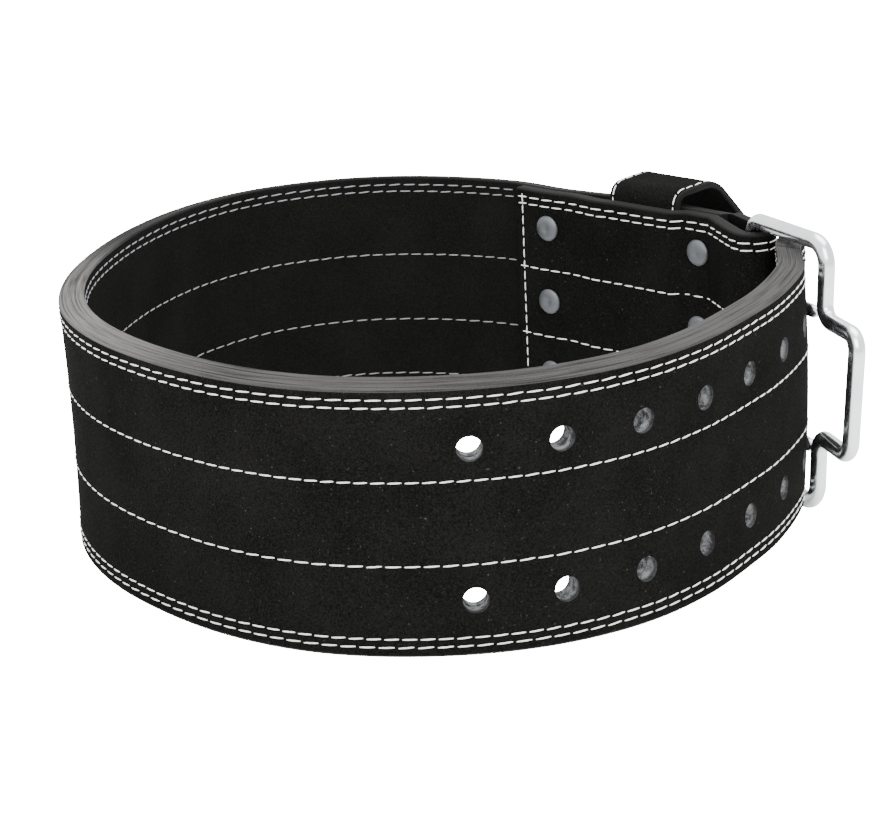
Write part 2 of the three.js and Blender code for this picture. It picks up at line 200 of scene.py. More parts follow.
@dataclass(frozen=True)
class Station:
    """A place on the strap's middle line, seen from above.

    Attributes:
        x: Share of the loop's half length.
        y: Share of the loop's half depth.
        flare: Share of the edge flare.
    """

    x: float
    y: float
    flare: float = 0.0


LOOP = (
    Station(0.872, 0.365),
    Station(0.83, 0.404),
    Station(0.63, 0.596),
    Station(0.401, 0.754),
    Station(0.26, 0.878),
    Station(0.061, 0.962, 0.6),
    Station(-0.136, 1.0, 1.0),
    Station(-0.318, 0.992, 1.0),
    Station(-0.554, 0.913, 0.8),
    Station(-0.74, 0.756, 0.6),
    Station(-0.879, 0.532, 0.4),
    Station(-0.969, 0.256, 0.35),
    Station(-1.0, 0.0, 0.35),
    Station(-0.965, -0.256, 0.5),
    Station(-0.837, -0.515, 0.8),
    Station(-0.588, -0.785, 1.0),
    Station(-0.371, -0.922, 1.0),
    Station(-0.172, -0.981, 1.0),
    Station(0.065, -0.993, 1.0),
    Station(0.273, -0.954, 1.0),
    Station(0.465, -0.864, 1.0),
    Station(0.622, -0.735, 0.8),
    Station(0.761, -0.568, 0.4),
    Station(0.868, -0.413),
)


@dataclass(frozen=True)
class TongueStation:
    """A place of the tongue beside the buckle.

    Attributes:
        ahead: Share of the buckle frame's length from its heel bar.
        out: Share of the way across that the fold needs.
        flare: Share of the edge flare.
    """

    ahead: float
    out: float
    flare: float = 0.0


TONGUE = (
    TongueStation(1.08, -1.03, -0.6),
    TongueStation(0.82, -0.45, -0.8),
    TongueStation(0.53, 0.08, -0.7),
    TongueStation(0.337, 0.53, -0.4),
    TongueStation(0.15, 0.88),
    TongueStation(-0.047, 1.09),
    TongueStation(-0.234, 1.13),
)


@dataclass
class Spot:
    """Places on the strap's middle line, one a row."""

    point: Array
    ahead: Array
    out: Array
    flare: Array


@dataclass
class StrapPlan:
    """The strap's middle line and the sizes that every leather piece shares, in millimetres.

    Attributes:
        width: The strap's width, which is its height as it stands.
        ply: Thickness of one ply.
        gap: Gap that the drawing leaves between the plies.
        edge_drop: How much lower the strap is at its outer face than at its inner face.
        edge_flare: How far the strap's edges stand out of its middle.
        half_length: Half the loop's length along X.
        half_depth: Half the loop's depth along Y.
        line_samples: Samples of the middle line between two stations.
        patch_past_rivets: From the far rivets to the patch's end.
        inner_ply_past_rivets: From the near rivets back to the inner ply's beginning.
        tip_rounding: Length of the tongue's round tip.
        tip_end: Share of that length at which the tip is closed by a flat facet.
        hole_diameter: Of a punched hole.
        hole_pitch: From one column of holes to the next.
        hole_columns: How many columns there are.
        hole_row_spacing: Between the upper and the lower row.
        tip_to_first_hole: From the tongue's tip to the first column.
        hole_drop: How far the rows lie below the strap's middle.
        rivet_column_spacing: Between the near and the far rivets.
        rivet_row_inset: From the outer rivets to the strap's edge.
        bar_diameter: Of the buckle's bar.
        frame_length: From the heel bar to the front bar.
        frame_turn: Turn of the buckle as seen from above, in degrees.
        fold_run: From the near rivets to the heel bar.
        fold_turn: Turn of the strap's beginning from the loop, in degrees.
        fold_slack: How loosely the fold lies round the heel bar.
        fold_turn_step: Whole degrees between two stations round the heel bar.
        fold_samples: Samples between two of those stations.
        fold_step: Spacing of the points round the fold.
        fold_drop_share: Share of the edge's drop in the middle of the folded ply.
        lay_before_rivets: How far before the near rivets the folded ply lies flat.
        metal_gap: Running gap between two pieces that touch on the real belt.
        keeper_thickness: Of the keeper's leather.
        keeper_slack: Room between the keeper and the strap.
        patch_rise: Where the patch rises over the keeper, as shares of the rivets' spacing and of
            the keeper's room.
    """

    width: float = 101.6
    ply: float = 5.05
    gap: float = 0.3
    edge_drop: float = 1.9
    edge_flare: float = 2.4
    half_length: float = 144.5
    half_depth: float = 156.0
    line_samples: int = 300
    patch_past_rivets: float = 18.0
    inner_ply_past_rivets: float = 8.0
    tip_rounding: float = 38.0
    tip_end: float = 0.9995
    hole_diameter: float = 9.5
    hole_pitch: float = 31.75
    hole_columns: int = 8
    hole_row_spacing: float = 56.4
    tip_to_first_hole: float = 46.5
    hole_drop: float = 2.2
    rivet_column_spacing: float = 83.0
    rivet_row_inset: float = 16.9
    bar_diameter: float = 6.9
    frame_length: float = 51.5
    frame_turn: float = 24.0
    fold_run: float = 38.0
    fold_turn: float = 25.0
    fold_slack: float = 0.9
    fold_turn_step: int = 30
    fold_samples: int = 60
    fold_step: float = 1.3
    fold_drop_share: float = 0.25
    lay_before_rivets: float = 5.8
    metal_gap: float = 0.35
    keeper_thickness: float = 2.8
    keeper_slack: float = 1.5
    patch_rise: tuple[tuple[float, float], ...] = (
        (0.08, 0.0), (0.17, 1.0), (0.39, 1.15), (0.64, 1.0), (0.9, 0.0),
    )

    def __post_init__(self) -> None:
        """Works out the line and the places that follow from it."""
        self.half = self.width / 2
        self.body_half = self.ply + self.gap / 2
        self.fold_radius = self.bar_diameter / 2 + self.fold_slack + self.ply / 2
        self.fold_top = self.width - self.edge_drop * self.fold_drop_share
        self.keeper_room = self.keeper_thickness + self.keeper_slack + self.metal_gap
        scale = np.array([self.half_length, self.half_depth])
        loop = np.array([[s.x, s.y] for s in LOOP]) * scale
        self.start_ahead = turned(unit(loop[0] - loop[2]), -self.fold_turn)
        self.heel = loop[1] + self.start_ahead * self.fold_run
        self.frame_ahead = turned(np.array([0.0, -1.0]), self.frame_turn)
        self.frame_out = np.array([-self.frame_ahead[1], self.frame_ahead[0]])
        past = self.fold_radius + self.ply / 2 + self.fold_slack + self.body_half
        tongue = np.array([
            self.heel + self.frame_ahead * s.ahead * self.frame_length + self.frame_out * s.out * past
            for s in TONGUE
        ])
        stations = np.vstack([loop, tongue])
        flares = [s.flare * self.edge_flare for s in (*LOOP, *TONGUE)]
        flare_stations = np.stack([np.arange(len(flares)), flares], axis=1)
        self._line = smooth_line(stations, self.line_samples)
        self._flare = smooth_line(flare_stations, self.line_samples)[:, 1]
        steps = np.linalg.norm(np.diff(self._line, axis=0), axis=1)
        self._arc = np.concatenate([[0.0], np.cumsum(steps)])
        self.tip = float(self._arc[-1])
        self.near_rivets = float(np.linalg.norm(loop[0] - loop[1]))
        self.far_rivets = self.near_rivets + self.rivet_column_spacing
        self.first_hole = self.tip - self.tip_to_first_hole
        middle = self.half - self.hole_drop
        self.hole_heights = (middle + self.hole_row_spacing / 2, middle - self.hole_row_spacing / 2)
        self.patch_end = self.far_rivets + self.patch_past_rivets

    def at(self, distances: Array) -> Spot:
        """Places at distances along the strap from its buckle end.

        Args:
            distances: The distances.

        Returns:
            The places.
        """
        tie_break = 1e-9
        d = np.atleast_1d(np.asarray(distances, float))
        point = np.stack([np.interp(d, self._arc, self._line[:, k]) for k in (0, 1)], axis=1)
        slope = np.gradient(self._line, self._arc + np.arange(len(self._arc)) * tie_break, axis=0)
        ahead = unit(np.stack([np.interp(d, self._arc, slope[:, k]) for k in (0, 1)], axis=1))
        return Spot(point, ahead, side_of(ahead), np.interp(d, self._arc, self._flare))

    def top_at(self, out: float) -> float:
        """Height of the strap's upper edge at a distance out of its middle."""
        return self.width - self.edge_drop * ((out + self.body_half) / (2 * self.body_half))

    def fold_line(self) -> Array:
        """The outer ply's own middle line round the heel bar.

        Returns:
            Flat points, one a row.
        """
        across = -side_of(self.start_ahead)
        leave = self.at(0.0)
        bend = [leave.point[0] + leave.out[0] * (self.ply + self.gap) / 2]
        for degrees in range(0, 181, self.fold_turn_step):
            turn = math.radians(degrees)
            bend.append(
                self.heel
                + across * self.fold_radius * math.cos(turn)
                + self.start_ahead * self.fold_radius * math.sin(turn)
            )
        bend.append(self.patch_line(np.array([self.patch_start()]))[0])
        return evenly(smooth_line(np.array(bend), self.fold_samples), self.fold_step)

    def patch_start(self) -> float:
        """Distance at which the folded ply lies flat on the strap."""
        return self.near_rivets - self.lay_before_rivets

    def patch_line(self, distances: Array) -> Array:
        """The patch's middle line, which stands off the strap over the keeper.

        Args:
            distances: Distances along the strap.

        Returns:
            Flat points, one a row.
        """
        share = (np.asarray(distances, float) - self.near_rivets) / self.rivet_column_spacing
        rise = np.zeros_like(share)
        for (a, low), (b, high) in zip(self.patch_rise, self.patch_rise[1:]):
            t = np.clip((share - a) / (b - a), 0.0, 1.0)
            eased = low + (high - low) * t * t * (3 - 2 * t)
            rise = np.where((share >= a) & (share <= b), eased, rise)
        place = self.at(distances)
        layer = self.body_half + self.metal_gap + self.ply / 2
        return place.point - place.out * (layer + self.keeper_room * rise)[:, None]

    def tip_shrink(self, distances: Array) -> Array:
        """How much of the strap's height is left in its round tip."""
        straight = self.tip - self.tip_rounding
        into = np.clip((np.asarray(distances) - straight) / self.tip_rounding, 0, self.tip_end)
        return np.sqrt(1 - into**2)


PLAN = StrapPlan()


def link(name: str, mesh: bpy.types.Mesh) -> Piece:
    """Puts a mesh in the scene as an object at the origin."""
    obj = bpy.data.objects.new(name, mesh)
    bpy.context.scene.collection.objects.link(obj)
    return obj


def drop(obj: Piece) -> None:
    """Takes a helper object out of the file."""
    bpy.data.objects.remove(obj, do_unlink=True)


@dataclass
class Skin:
    """A skin through rings of points, with its surface coordinates.

    Attributes:
        rings: Points in drawn millimetres, ring by ring.
        along: Distance of each ring along the piece.
        around: Coordinate of each ring point across the surface, in millimetres.
        slots: Material slot of the faces after each ring point.
        closed: Whether the last ring joins the first.
        cap_slot: Material slot of the two end faces.
    """

    rings: Array
    along: Array
    around: Array
    slots: Array
    closed: bool = False
    cap_slot: int = 0

    def build(self, name: str, materials: list[Material]) -> Piece:
        """Makes the mesh.

        Args:
            name: The object's name.
            materials: One material a slot.

        Returns:
            The object, with faces pointing out and a map named strap in metres.
        """
        count, size = self.rings.shape[:2]
        bm = bmesh.new()
        grid = [[bm.verts.new(p) for p in PLACE.points(ring)] for ring in self.rings]
        layer = bm.loops.layers.uv.new(STRAP_MAP)
        step = float(self.along[-1] - self.along[-2])
        for i in range(count if self.closed else count - 1):
            k = (i + 1) % count
            ahead = self.along[k] if k else self.along[i] + step
            for j in range(size):
                n = (j + 1) % size
                face = bm.faces.new((grid[i][j], grid[i][n], grid[k][n], grid[k][j]))
                face.material_index = int(self.slots[j])
                face.smooth = True
                end = self.around[n] if n else self.around[j]
                for loop, u, v in zip(
                    face.loops,
                    (self.along[i], self.along[i], ahead, ahead),
                    (self.around[j], end, end, self.around[j]),
                ):
                    loop[layer].uv = (u * MM, v * MM)
        if not self.closed:
            for ring in (list(reversed(grid[0])), grid[-1]):
                face = bm.faces.new(ring)
                face.material_index = self.cap_slot
        bmesh.ops.recalc_face_normals(bm, faces=bm.faces)
        mesh = bpy.data.meshes.new(name)
        bm.to_mesh(mesh)
        bm.free()
        for material in materials:
            mesh.materials.append(material)
        mesh.set_sharp_from_angle(angle=SHARP_ANGLE)
        return link(name, mesh)


def cut(target: Piece, cutters: list[Piece]) -> None:
    """Cuts shapes out of a piece; the new faces keep the cutters' material.

    Args:
        target: The piece, whose mesh is replaced by the cut one.
        cutters: The shapes, which are taken out of the file.
    """
    bm = bmesh.new()
    for cutter in cutters:
        bm.from_mesh(cutter.data)
    joined = bpy.data.meshes.new("cutters")
    bm.to_mesh(joined)
    bm.free()
    joined.materials.append(cutters[0].data.materials[0])
    tool = link("cutters", joined)
    modifier = target.modifiers.new("punch", "BOOLEAN")
    modifier.operation = "DIFFERENCE"
    modifier.solver = "EXACT"
    modifier.use_self = True
    modifier.material_mode = "TRANSFER"
    modifier.object = tool
    bake(target)
    for cutter in cutters:
        drop(cutter)
    drop(tool)


def bake(obj: Piece) -> None:
    """Turns an object's modifiers into its plain mesh.

    Args:
        obj: The object.
    """
    graph = bpy.context.evaluated_depsgraph_get()
    mesh = bpy.data.meshes.new_from_object(
        obj.evaluated_get(graph), preserve_all_data_layers=True, depsgraph=graph
    )
    mesh.name = obj.name
    obj.modifiers.clear()
    obj.data = mesh


def ride(obj: Piece, slot: str, *nodes: str) -> None:
    """Hands a finished piece to the frame.

    Args:
        obj: The piece.
        slot: The record's material slot; it is not used.
        nodes: The CAD nodes that the piece stands for.
    """
    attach(obj, "root")
    if nodes:
        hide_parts(*nodes)
    log.info("%s: %d faces", obj.name, len(obj.data.polygons))


class Wiring:
    """What a material and a geometry tree share: sockets that take a plain value or a wire."""

    tree: bpy.types.NodeTree

    def feed(self, socket: Socket, value: object) -> None:
        """Wires another socket into a socket, or sets it to a plain value.

        Args:
            socket: The socket that takes the value.
            value: A plain value or a socket.
        """
        if isinstance(value, Socket):
            self.tree.links.new(value, socket)
        else:
            socket.default_value = value

    def math(self, operation: str, *values: object) -> Socket:
        """Adds a math node.

        Args:
            operation: The node's operation.
            values: Numbers or sockets.

        Returns:
            The result's socket.
        """
        made = self.tree.nodes.new("ShaderNodeMath")
        made.operation = operation
        for socket, value in zip(made.inputs, values):
            self.feed(socket, value)
        return made.outputs[0]


class Shader(Wiring):
    """A small helper that wires a material's nodes."""

    def __init__(self, name: str) -> None:
        """Starts a material with a principled shader.

        Args:
            name: The material's name.
        """
        self.material = bpy.data.materials.new(name)
        self.material.use_nodes = True
        self.tree = self.material.node_tree
        self.surface = self.tree.nodes["Principled BSDF"]

    def node(self, kind: str, **settings: object) -> bpy.types.Node:
        """Adds a node.

        Args:
            kind: The node's type name.
            settings: Its properties, or its inputs by name with _ for a space.

        Returns:
            The node.
        """
        made = self.tree.nodes.new(kind)
        for key, value in settings.items():
            if hasattr(made, key):
                setattr(made, key, value)
            else:
                self.feed(made.inputs[key.replace("_", " ")], value)
        return made

    def place(self) -> Socket:
        """The place on the piece, in metres."""
        return self.node("ShaderNodeTexCoord").outputs["Object"]

    def flat(self) -> Socket:
        """The coordinates along and across the piece's surface, in metres."""
        return self.node("ShaderNodeUVMap", uv_map=STRAP_MAP).outputs[0]

    def along(self) -> Socket:
        """The distance along the piece's surface, in metres."""
        return self.node("ShaderNodeSeparateXYZ", Vector=self.flat()).outputs[0]

    def grain(self, coordinates: Socket, scale: float, detail: float = 3.0) -> Socket:
        """Adds noise.

        Args:
            coordinates: Where the noise is read.
            scale: Its scale.
            detail: Its detail.

        Returns:
            The noise's value.
        """
        made = self.node("ShaderNodeTexNoise", Vector=coordinates, Scale=scale, Detail=detail)
        return made.outputs["Fac"]

    def streaks(self, scale: Colour, detail: float) -> Socket:
        """Adds noise that is drawn out along the piece's surface.

        Args:
            scale: Its scale along and across the surface.
            detail: Its detail.

        Returns:
            The noise's value.
        """
        drawn_out = self.node("ShaderNodeMapping", Vector=self.flat(), Scale=scale)
        return self.grain(drawn_out.outputs[0], 1.0, detail)

    def weighed(self, *parts: tuple[Socket, float]) -> Socket:
        """Adds values up, each times its weight.

        Args:
            parts: The values with their weights.

        Returns:
            The sum.
        """
        shares = [self.math("MULTIPLY", value, weight) for value, weight in parts]
        total = shares[0]
        for share in shares[1:]:
            total = self.math("ADD", total, share)
        return total

    def ramp(self, value: Socket, *stops: tuple[float, Colour]) -> Socket:
        """Turns a value into a colour.

        Args:
            value: The value.
            stops: Positions and linear colours.

        Returns:
            The colour.
        """
        made = self.node("ShaderNodeValToRGB", Fac=value)
        for element, (place, colour) in zip(made.color_ramp.elements, stops):
            element.position = place
            element.color = (*colour, 1.0)
        return made.outputs[0]

    def blend(self, share: Socket, first: object, second: object) -> Socket:
        """Mixes two colours by a share.

        Args:
            share: The second colour's share.
            first: A colour or a socket.
            second: A colour or a socket.

        Returns:
            The mixed colour.
        """
        made = self.node("ShaderNodeMix", data_type="RGBA")
        self.wire(share, made.inputs[0])
        for socket, value in ((made.inputs[6], first), (made.inputs[7], second)):
            self.feed(socket, value if isinstance(value, Socket) else (*value, 1.0))
        return made.outputs[2]

    def rise(self, value: Socket, begin: float, end: float) -> Socket:
        """Grows smoothly from nought to one while a value goes from one number to another."""
        made = self.node("ShaderNodeMapRange", interpolation_type="SMOOTHSTEP", From_Min=begin, From_Max=end)
        self.wire(value, made.inputs["Value"])
        return made.outputs[0]

    def bump(self, height: Socket, distance: float, strength: float, over: Socket | None = None) -> Socket:
        """Adds relief.

        Args:
            height: The relief's height.
            distance: Its depth in metres.
            strength: Its strength.
            over: A normal that it is added to, if any.

        Returns:
            The normal.
        """
        made = self.node("ShaderNodeBump", Height=height, Strength=strength, Distance=distance)
        if over is not None:
            self.wire(over, made.inputs["Normal"])
        return made.outputs[0]

    def wire(self, out: Socket, into: Socket) -> None:
        """Joins two sockets."""
        self.tree.links.new(out, into)

    def finish(self, colour: Socket, normal: Socket | None, **values: float) -> Material:
        """Wires the surface.

        Args:
            colour: The base colour.
            normal: The normal, if any.
            values: The shader's inputs by name with _ for a space.

        Returns:
            The material.
        """
        self.wire(colour, self.surface.inputs["Base Color"])
        if normal is not None:
            self.wire(normal, self.surface.inputs["Normal"])
        for key, value in values.items():
            self.surface.inputs[key.replace("_", " ")].default_value = value
        return self.material


def tinted(level: float, tint: Colour = (1.0, 1.0, 1.0)) -> Colour:
    """A linear grey times a tint."""
    return tuple(level * channel for channel in tint)


def times(colour: Colour, by: Colour) -> Colour:
    """A linear colour times another, channel by channel."""
    return tuple(c * b for c, b in zip(colour, by))


@dataclass(frozen=True)
class Suede:
    """Black suede with a short nap, faint clouds where it was brushed, and pale lint.

    Attributes:
        dark: Linear grey in the nap's shade.
        light: Linear grey where the nap is brushed up.
        lint: Linear grey of the lint.
        dark_tint: Tint of the shade.
        light_tint: Tint of the brushed nap.
        lint_tint: Tint of the lint.
        nap: Scale of the nap.
        cloud: Scale of the clouds.
        fleck: Scale of the lint.
        nap_share: Share of the tone that the nap gives; the clouds give the rest.
        tone_span: Tones between which the suede goes from dark to light.
        lint_span: Values between which the lint shows.
    """

    dark: float = 0.0030
    light: float = 0.0090
    lint: float = 0.042
    dark_tint: Colour = (1.0, 1.0, 0.95)
    light_tint: Colour = (1.0, 0.99, 0.93)
    lint_tint: Colour = (1.0, 1.0, 0.97)
    nap: float = 1500.0
    cloud: float = 38.0
    fleck: float = 980.0
    nap_share: float = 0.76
    tone_span: tuple[float, float] = (0.4, 0.62)
    lint_span: tuple[float, float] = (0.69, 0.78)

    def material(self, name: str) -> Material:
        """Builds the suede.

        Args:
            name: The material's name.

        Returns:
            The material.
        """
        s = Shader(name)
        place = s.place()
        nap = s.grain(place, self.nap, detail=6.0)
        fleck = s.grain(place, self.fleck, detail=2.0)
        tone = s.weighed((nap, self.nap_share), (s.grain(place, self.cloud), 1.0 - self.nap_share))
        shade, brushed = tinted(self.dark, self.dark_tint), tinted(self.light, self.light_tint)
        base = s.ramp(tone, (self.tone_span[0], shade), (self.tone_span[1], brushed))
        speck = s.ramp(fleck, (self.lint_span[0], tinted(0.0)), (self.lint_span[1], tinted(1.0)))
        colour = s.blend(speck, base, tinted(self.lint, self.lint_tint))
        relief = s.bump(nap, distance=0.0003, strength=0.55)
        normal = s.bump(fleck, distance=0.0004, strength=0.25, over=relief)
        return s.finish(colour, normal, Roughness=1.0, Specular_IOR_Level=0.02)


@dataclass(frozen=True)
class CutEdge:
    """The strap's cut and dyed edge, made grey by painted sheen where light glances off it, with streaks
    that run along it.

    Attributes:
        dark: Linear grey of the streaks.
        light: Linear grey of the painted sheen on the dye.
        tint: Tint of the streaked grey of the painted sheen.
        bare_dye: Linear grey of the dye where no sheen is painted, at the back and on the patch.
        bare_dye_tint: Its tint.
        least_sheen: Share of painted sheen that is left where the dye shows dark.
        sheen_span: Distances along the strap between which the painted sheen grows, in metres.
        sheen_fade_span: Distances between which it fades towards the front.
        front_sheen: Share of the painted sheen that is left there.
        dark_line: Distance of the thin dark line across the tongue's edge.
        dark_line_width: Its width.
        dark_line_depth: How much of the dye's own grey shows in it.
        streak: Scale of the fine streaks along and across the edge.
        layers: Scale of the leather's layers along and across the edge.
        pores: Scale of the pores.
        tone_span: Tones between which the edge goes from dark to light.
    """

    dark: float = 0.024
    light: float = 0.115
    tint: Colour = (1.0, 0.97, 0.95)
    bare_dye: float = 0.004
    bare_dye_tint: Colour = (1.0, 0.98, 0.95)
    least_sheen: float = 0.05
    sheen_span: tuple[float, float] = (0.33, 0.42)
    sheen_fade_span: tuple[float, float] = (0.46, 0.58)
    front_sheen: float = 0.4
    dark_line: float = 0.869
    dark_line_width: float = 0.0022
    dark_line_depth: float = 0.85
    streak: Colour = (38.0, 1500.0, 1.0)
    layers: Colour = (7.0, 420.0, 1.0)
    pores: float = 1900.0
    tone_span: tuple[float, float] = (0.4, 0.54)

    # Painted sheen, not wear: the edge is grey where light would glance off it, at the sides and less at the
    # front, and none at the back.
    def wear(self, s: Shader, along: Socket) -> Socket:
        """How much painted sheen lies on the dark dye along the strap.

        Args:
            s: The material's helper.
            along: The distance along the strap.

        Returns:
            The share of painted sheen.
        """
        faded = s.math("MULTIPLY", s.rise(along, *self.sheen_fade_span), 1.0 - self.front_sheen)
        grown = s.math("MULTIPLY", s.rise(along, *self.sheen_span), s.math("SUBTRACT", 1.0, faded))
        return s.math("ADD", s.math("MULTIPLY", grown, 1.0 - self.least_sheen), self.least_sheen)

    def dark_line_at(self, s: Shader, along: Socket) -> Socket:
        """How dark the thin line across the tongue's edge is along the strap.

        Args:
            s: The material's helper.
            along: The distance along the strap.

        Returns:
            The line's share.
        """
        half = self.dark_line_width / 2
        opened = s.rise(along, self.dark_line - half, self.dark_line)
        closed = s.math("SUBTRACT", 1.0, s.rise(along, self.dark_line, self.dark_line + half))
        return s.math("MULTIPLY", s.math("MULTIPLY", opened, closed), self.dark_line_depth)

    def material(self, name: str) -> Material:
        """Builds the edge.

        Args:
            name: The material's name.

        Returns:
            The material.
        """
        s = Shader(name)
        streak = s.streaks(self.streak, detail=5.0)
        layers = s.streaks(self.layers, detail=2.0)
        pores = s.grain(s.place(), self.pores)
        tone = s.weighed((streak, 0.45), (layers, 0.4), (pores, 0.15))
        dark, light = tinted(self.dark, self.tint), tinted(self.light, self.tint)
        # The streaked grey stands for light glancing off the edge: painted sheen over the edge's own
        # streaks.
        worn = s.ramp(tone, (self.tone_span[0], dark), (self.tone_span[1], light))
        bare_dye = tinted(self.bare_dye, self.bare_dye_tint)
        along = s.along()
        # Painted sheen: grey laid over the dark dye by distance along the strap.
        plain = s.blend(self.wear(s, along), bare_dye, worn)
        # A thin band of the dye's dark grey is laid across the tongue's edge.
        colour = s.blend(self.dark_line_at(s, along), plain, bare_dye)
        relief = s.bump(streak, distance=0.00035, strength=0.5)
        normal = s.bump(pores, distance=0.0002, strength=0.3, over=relief)
        return s.finish(colour, normal, Roughness=0.8, Specular_IOR_Level=0.1)


@dataclass(frozen=True)
class RawFibre:
    """The undyed fibre in a punched hole's wall, which the dye has reached near both faces.

    Attributes:
        dark: Linear grey of the fibre's shade.
        light: Linear grey of the fibre.
        dark_tint: Tint of the shade.
        light_tint: Tint of the fibre.
        dye: Linear grey of the dyed rims.
        middle: How far along the punch the middle of the strap lies, in metres.
        pale: Half the width of the pale fibre.
        rim: How far the dye runs out towards it.
        rim_depth: How much of the dye shows in the rims.
        seam: Half the width of the dark seam between the plies.
        seam_depth: How much of the dye shows in the seam.
        clump: Scale of the fibre's clumps.
        strand: Scale of its strands.
        clump_share: Share of the tone that the clumps give; the strands give the rest.
        tone_span: Tones between which the fibre goes from dark to light.
    """

    dark: float = 0.05
    light: float = 0.36
    dark_tint: Colour = (0.94, 0.98, 1.0)
    light_tint: Colour = (0.95, 0.98, 1.0)
    dye: float = 0.012
    middle: float = 0.010
    pale: float = 0.0027
    rim: float = 0.0022
    rim_depth: float = 0.85
    seam: float = 0.0004
    seam_depth: float = 0.7
    clump: float = 330.0
    strand: float = 2300.0
    clump_share: float = 0.6
    tone_span: tuple[float, float] = (0.42, 0.6)

    def material(self, name: str) -> Material:
        """Builds the fibre.

        Args:
            name: The material's name.

        Returns:
            The material.
        """
        s = Shader(name)
        place = s.place()
        clump = s.grain(place, self.clump)
        strand = s.grain(place, self.strand, detail=4.0)
        tone = s.weighed((clump, self.clump_share), (strand, 1.0 - self.clump_share))
        shade, fibre = tinted(self.dark, self.dark_tint), tinted(self.light, self.light_tint)
        raw = s.ramp(tone, (self.tone_span[0], shade), (self.tone_span[1], fibre))
        depth = s.math("ABSOLUTE", s.math("SUBTRACT", s.along(), self.middle))
        frayed = s.math("ADD", depth, s.math("MULTIPLY", s.math("SUBTRACT", clump, 0.5), self.rim))
        rims = s.math("MULTIPLY", s.rise(frayed, self.pale, self.pale + self.rim), self.rim_depth)
        from_seam = s.rise(depth, 0.0, self.seam)
        seam = s.math("MULTIPLY", s.math("SUBTRACT", 1.0, from_seam), self.seam_depth)
        colour = s.blend(s.math("MAXIMUM", rims, seam), raw, tinted(self.dye))
        normal = s.bump(strand, distance=0.0004, strength=0.7)
        return s.finish(colour, normal, Roughness=0.9, Specular_IOR_Level=0.1)


@dataclass(frozen=True)
class Thread:
    """Sewing thread.

    Attributes:
        colour: Linear colour of the thread.
        shade: Tint of the hollows between its strands.
        strand: Scale of the strands.
    """

    colour: Colour = (0.93, 0.92, 0.89)
    shade: Colour = (0.72, 0.72, 0.72)
    strand: float = 1500.0

    def material(self, name: str) -> Material:
        """Builds the thread.

        Args:
            name: The material's name.

        Returns:
            The material.
        """
        s = Shader(name)
        strand = s.grain(s.place(), self.strand, detail=2.0)
        colour = s.ramp(strand, (0.3, times(self.colour, self.shade)), (0.6, self.colour))
        normal = s.bump(strand, distance=0.0002, strength=0.4)
        return s.finish(colour, normal, Roughness=0.7, Specular_IOR_Level=0.25)


@dataclass(frozen=True)
class Plating:
    """Plated metal with fine wear.

    Attributes:
        colour: Linear colour of the metal.
        shade: Tint of the duller patches.
        rough: Least roughness.
        wear: How much rougher it is where it is worn.
        patch: Scale of the patches.
        scratch: Scale of the scratches.
    """

    colour: Colour = (0.88, 0.90, 0.92)
    shade: Colour = (0.86, 0.87, 0.88)
    rough: float = 0.14
    wear: float = 0.2
    patch: float = 160.0
    scratch: float = 1400.0

    def material(self, name: str) -> Material:
        """Builds the metal.

        Args:
            name: The material's name.

        Returns:
            The material.
        """
        s = Shader(name)
        place = s.place()
        patch = s.grain(place, self.patch, detail=4.0)
        scratch = s.grain(place, self.scratch)
        colour = s.ramp(patch, (0.3, times(self.colour, self.shade)), (0.65, self.colour))
        rough = s.math("ADD", self.rough, s.math("MULTIPLY", patch, self.wear))
        s.wire(rough, s.surface.inputs["Roughness"])
        relief = s.bump(patch, distance=0.0003, strength=0.1)
        normal = s.bump(scratch, distance=0.0001, strength=0.12, over=relief)
        return s.finish(colour, normal, Metallic=1.0)


@dataclass
class Finishes:
    """Every finish of the belt."""

    suede: Material
    lining: Material
    edge: Material
    fibre: Material
    thread: Material
    dull_thread: Material
    chrome: Material
    zinc: Material

    @classmethod
    def make(cls) -> "Finishes":
        """Builds all the finishes.

        Returns:
            The finishes.
        """
        return cls(
            suede=Suede().material("suede"),
            lining=Suede(dark=0.0044, light=0.0092, lint=0.016).material("suede_inside"),
            edge=CutEdge().material("cut_edge"),
            fibre=RawFibre().material("raw_fibre"),
            thread=Thread().material("white_thread"),
            dull_thread=Thread(colour=(0.25, 0.25, 0.26)).material("dull_thread"),
            chrome=Plating().material("plated_bar"),
            zinc=Plating(colour=(0.17, 0.18, 0.19), rough=0.42, wear=0.4).material("dull_zinc"),
        )


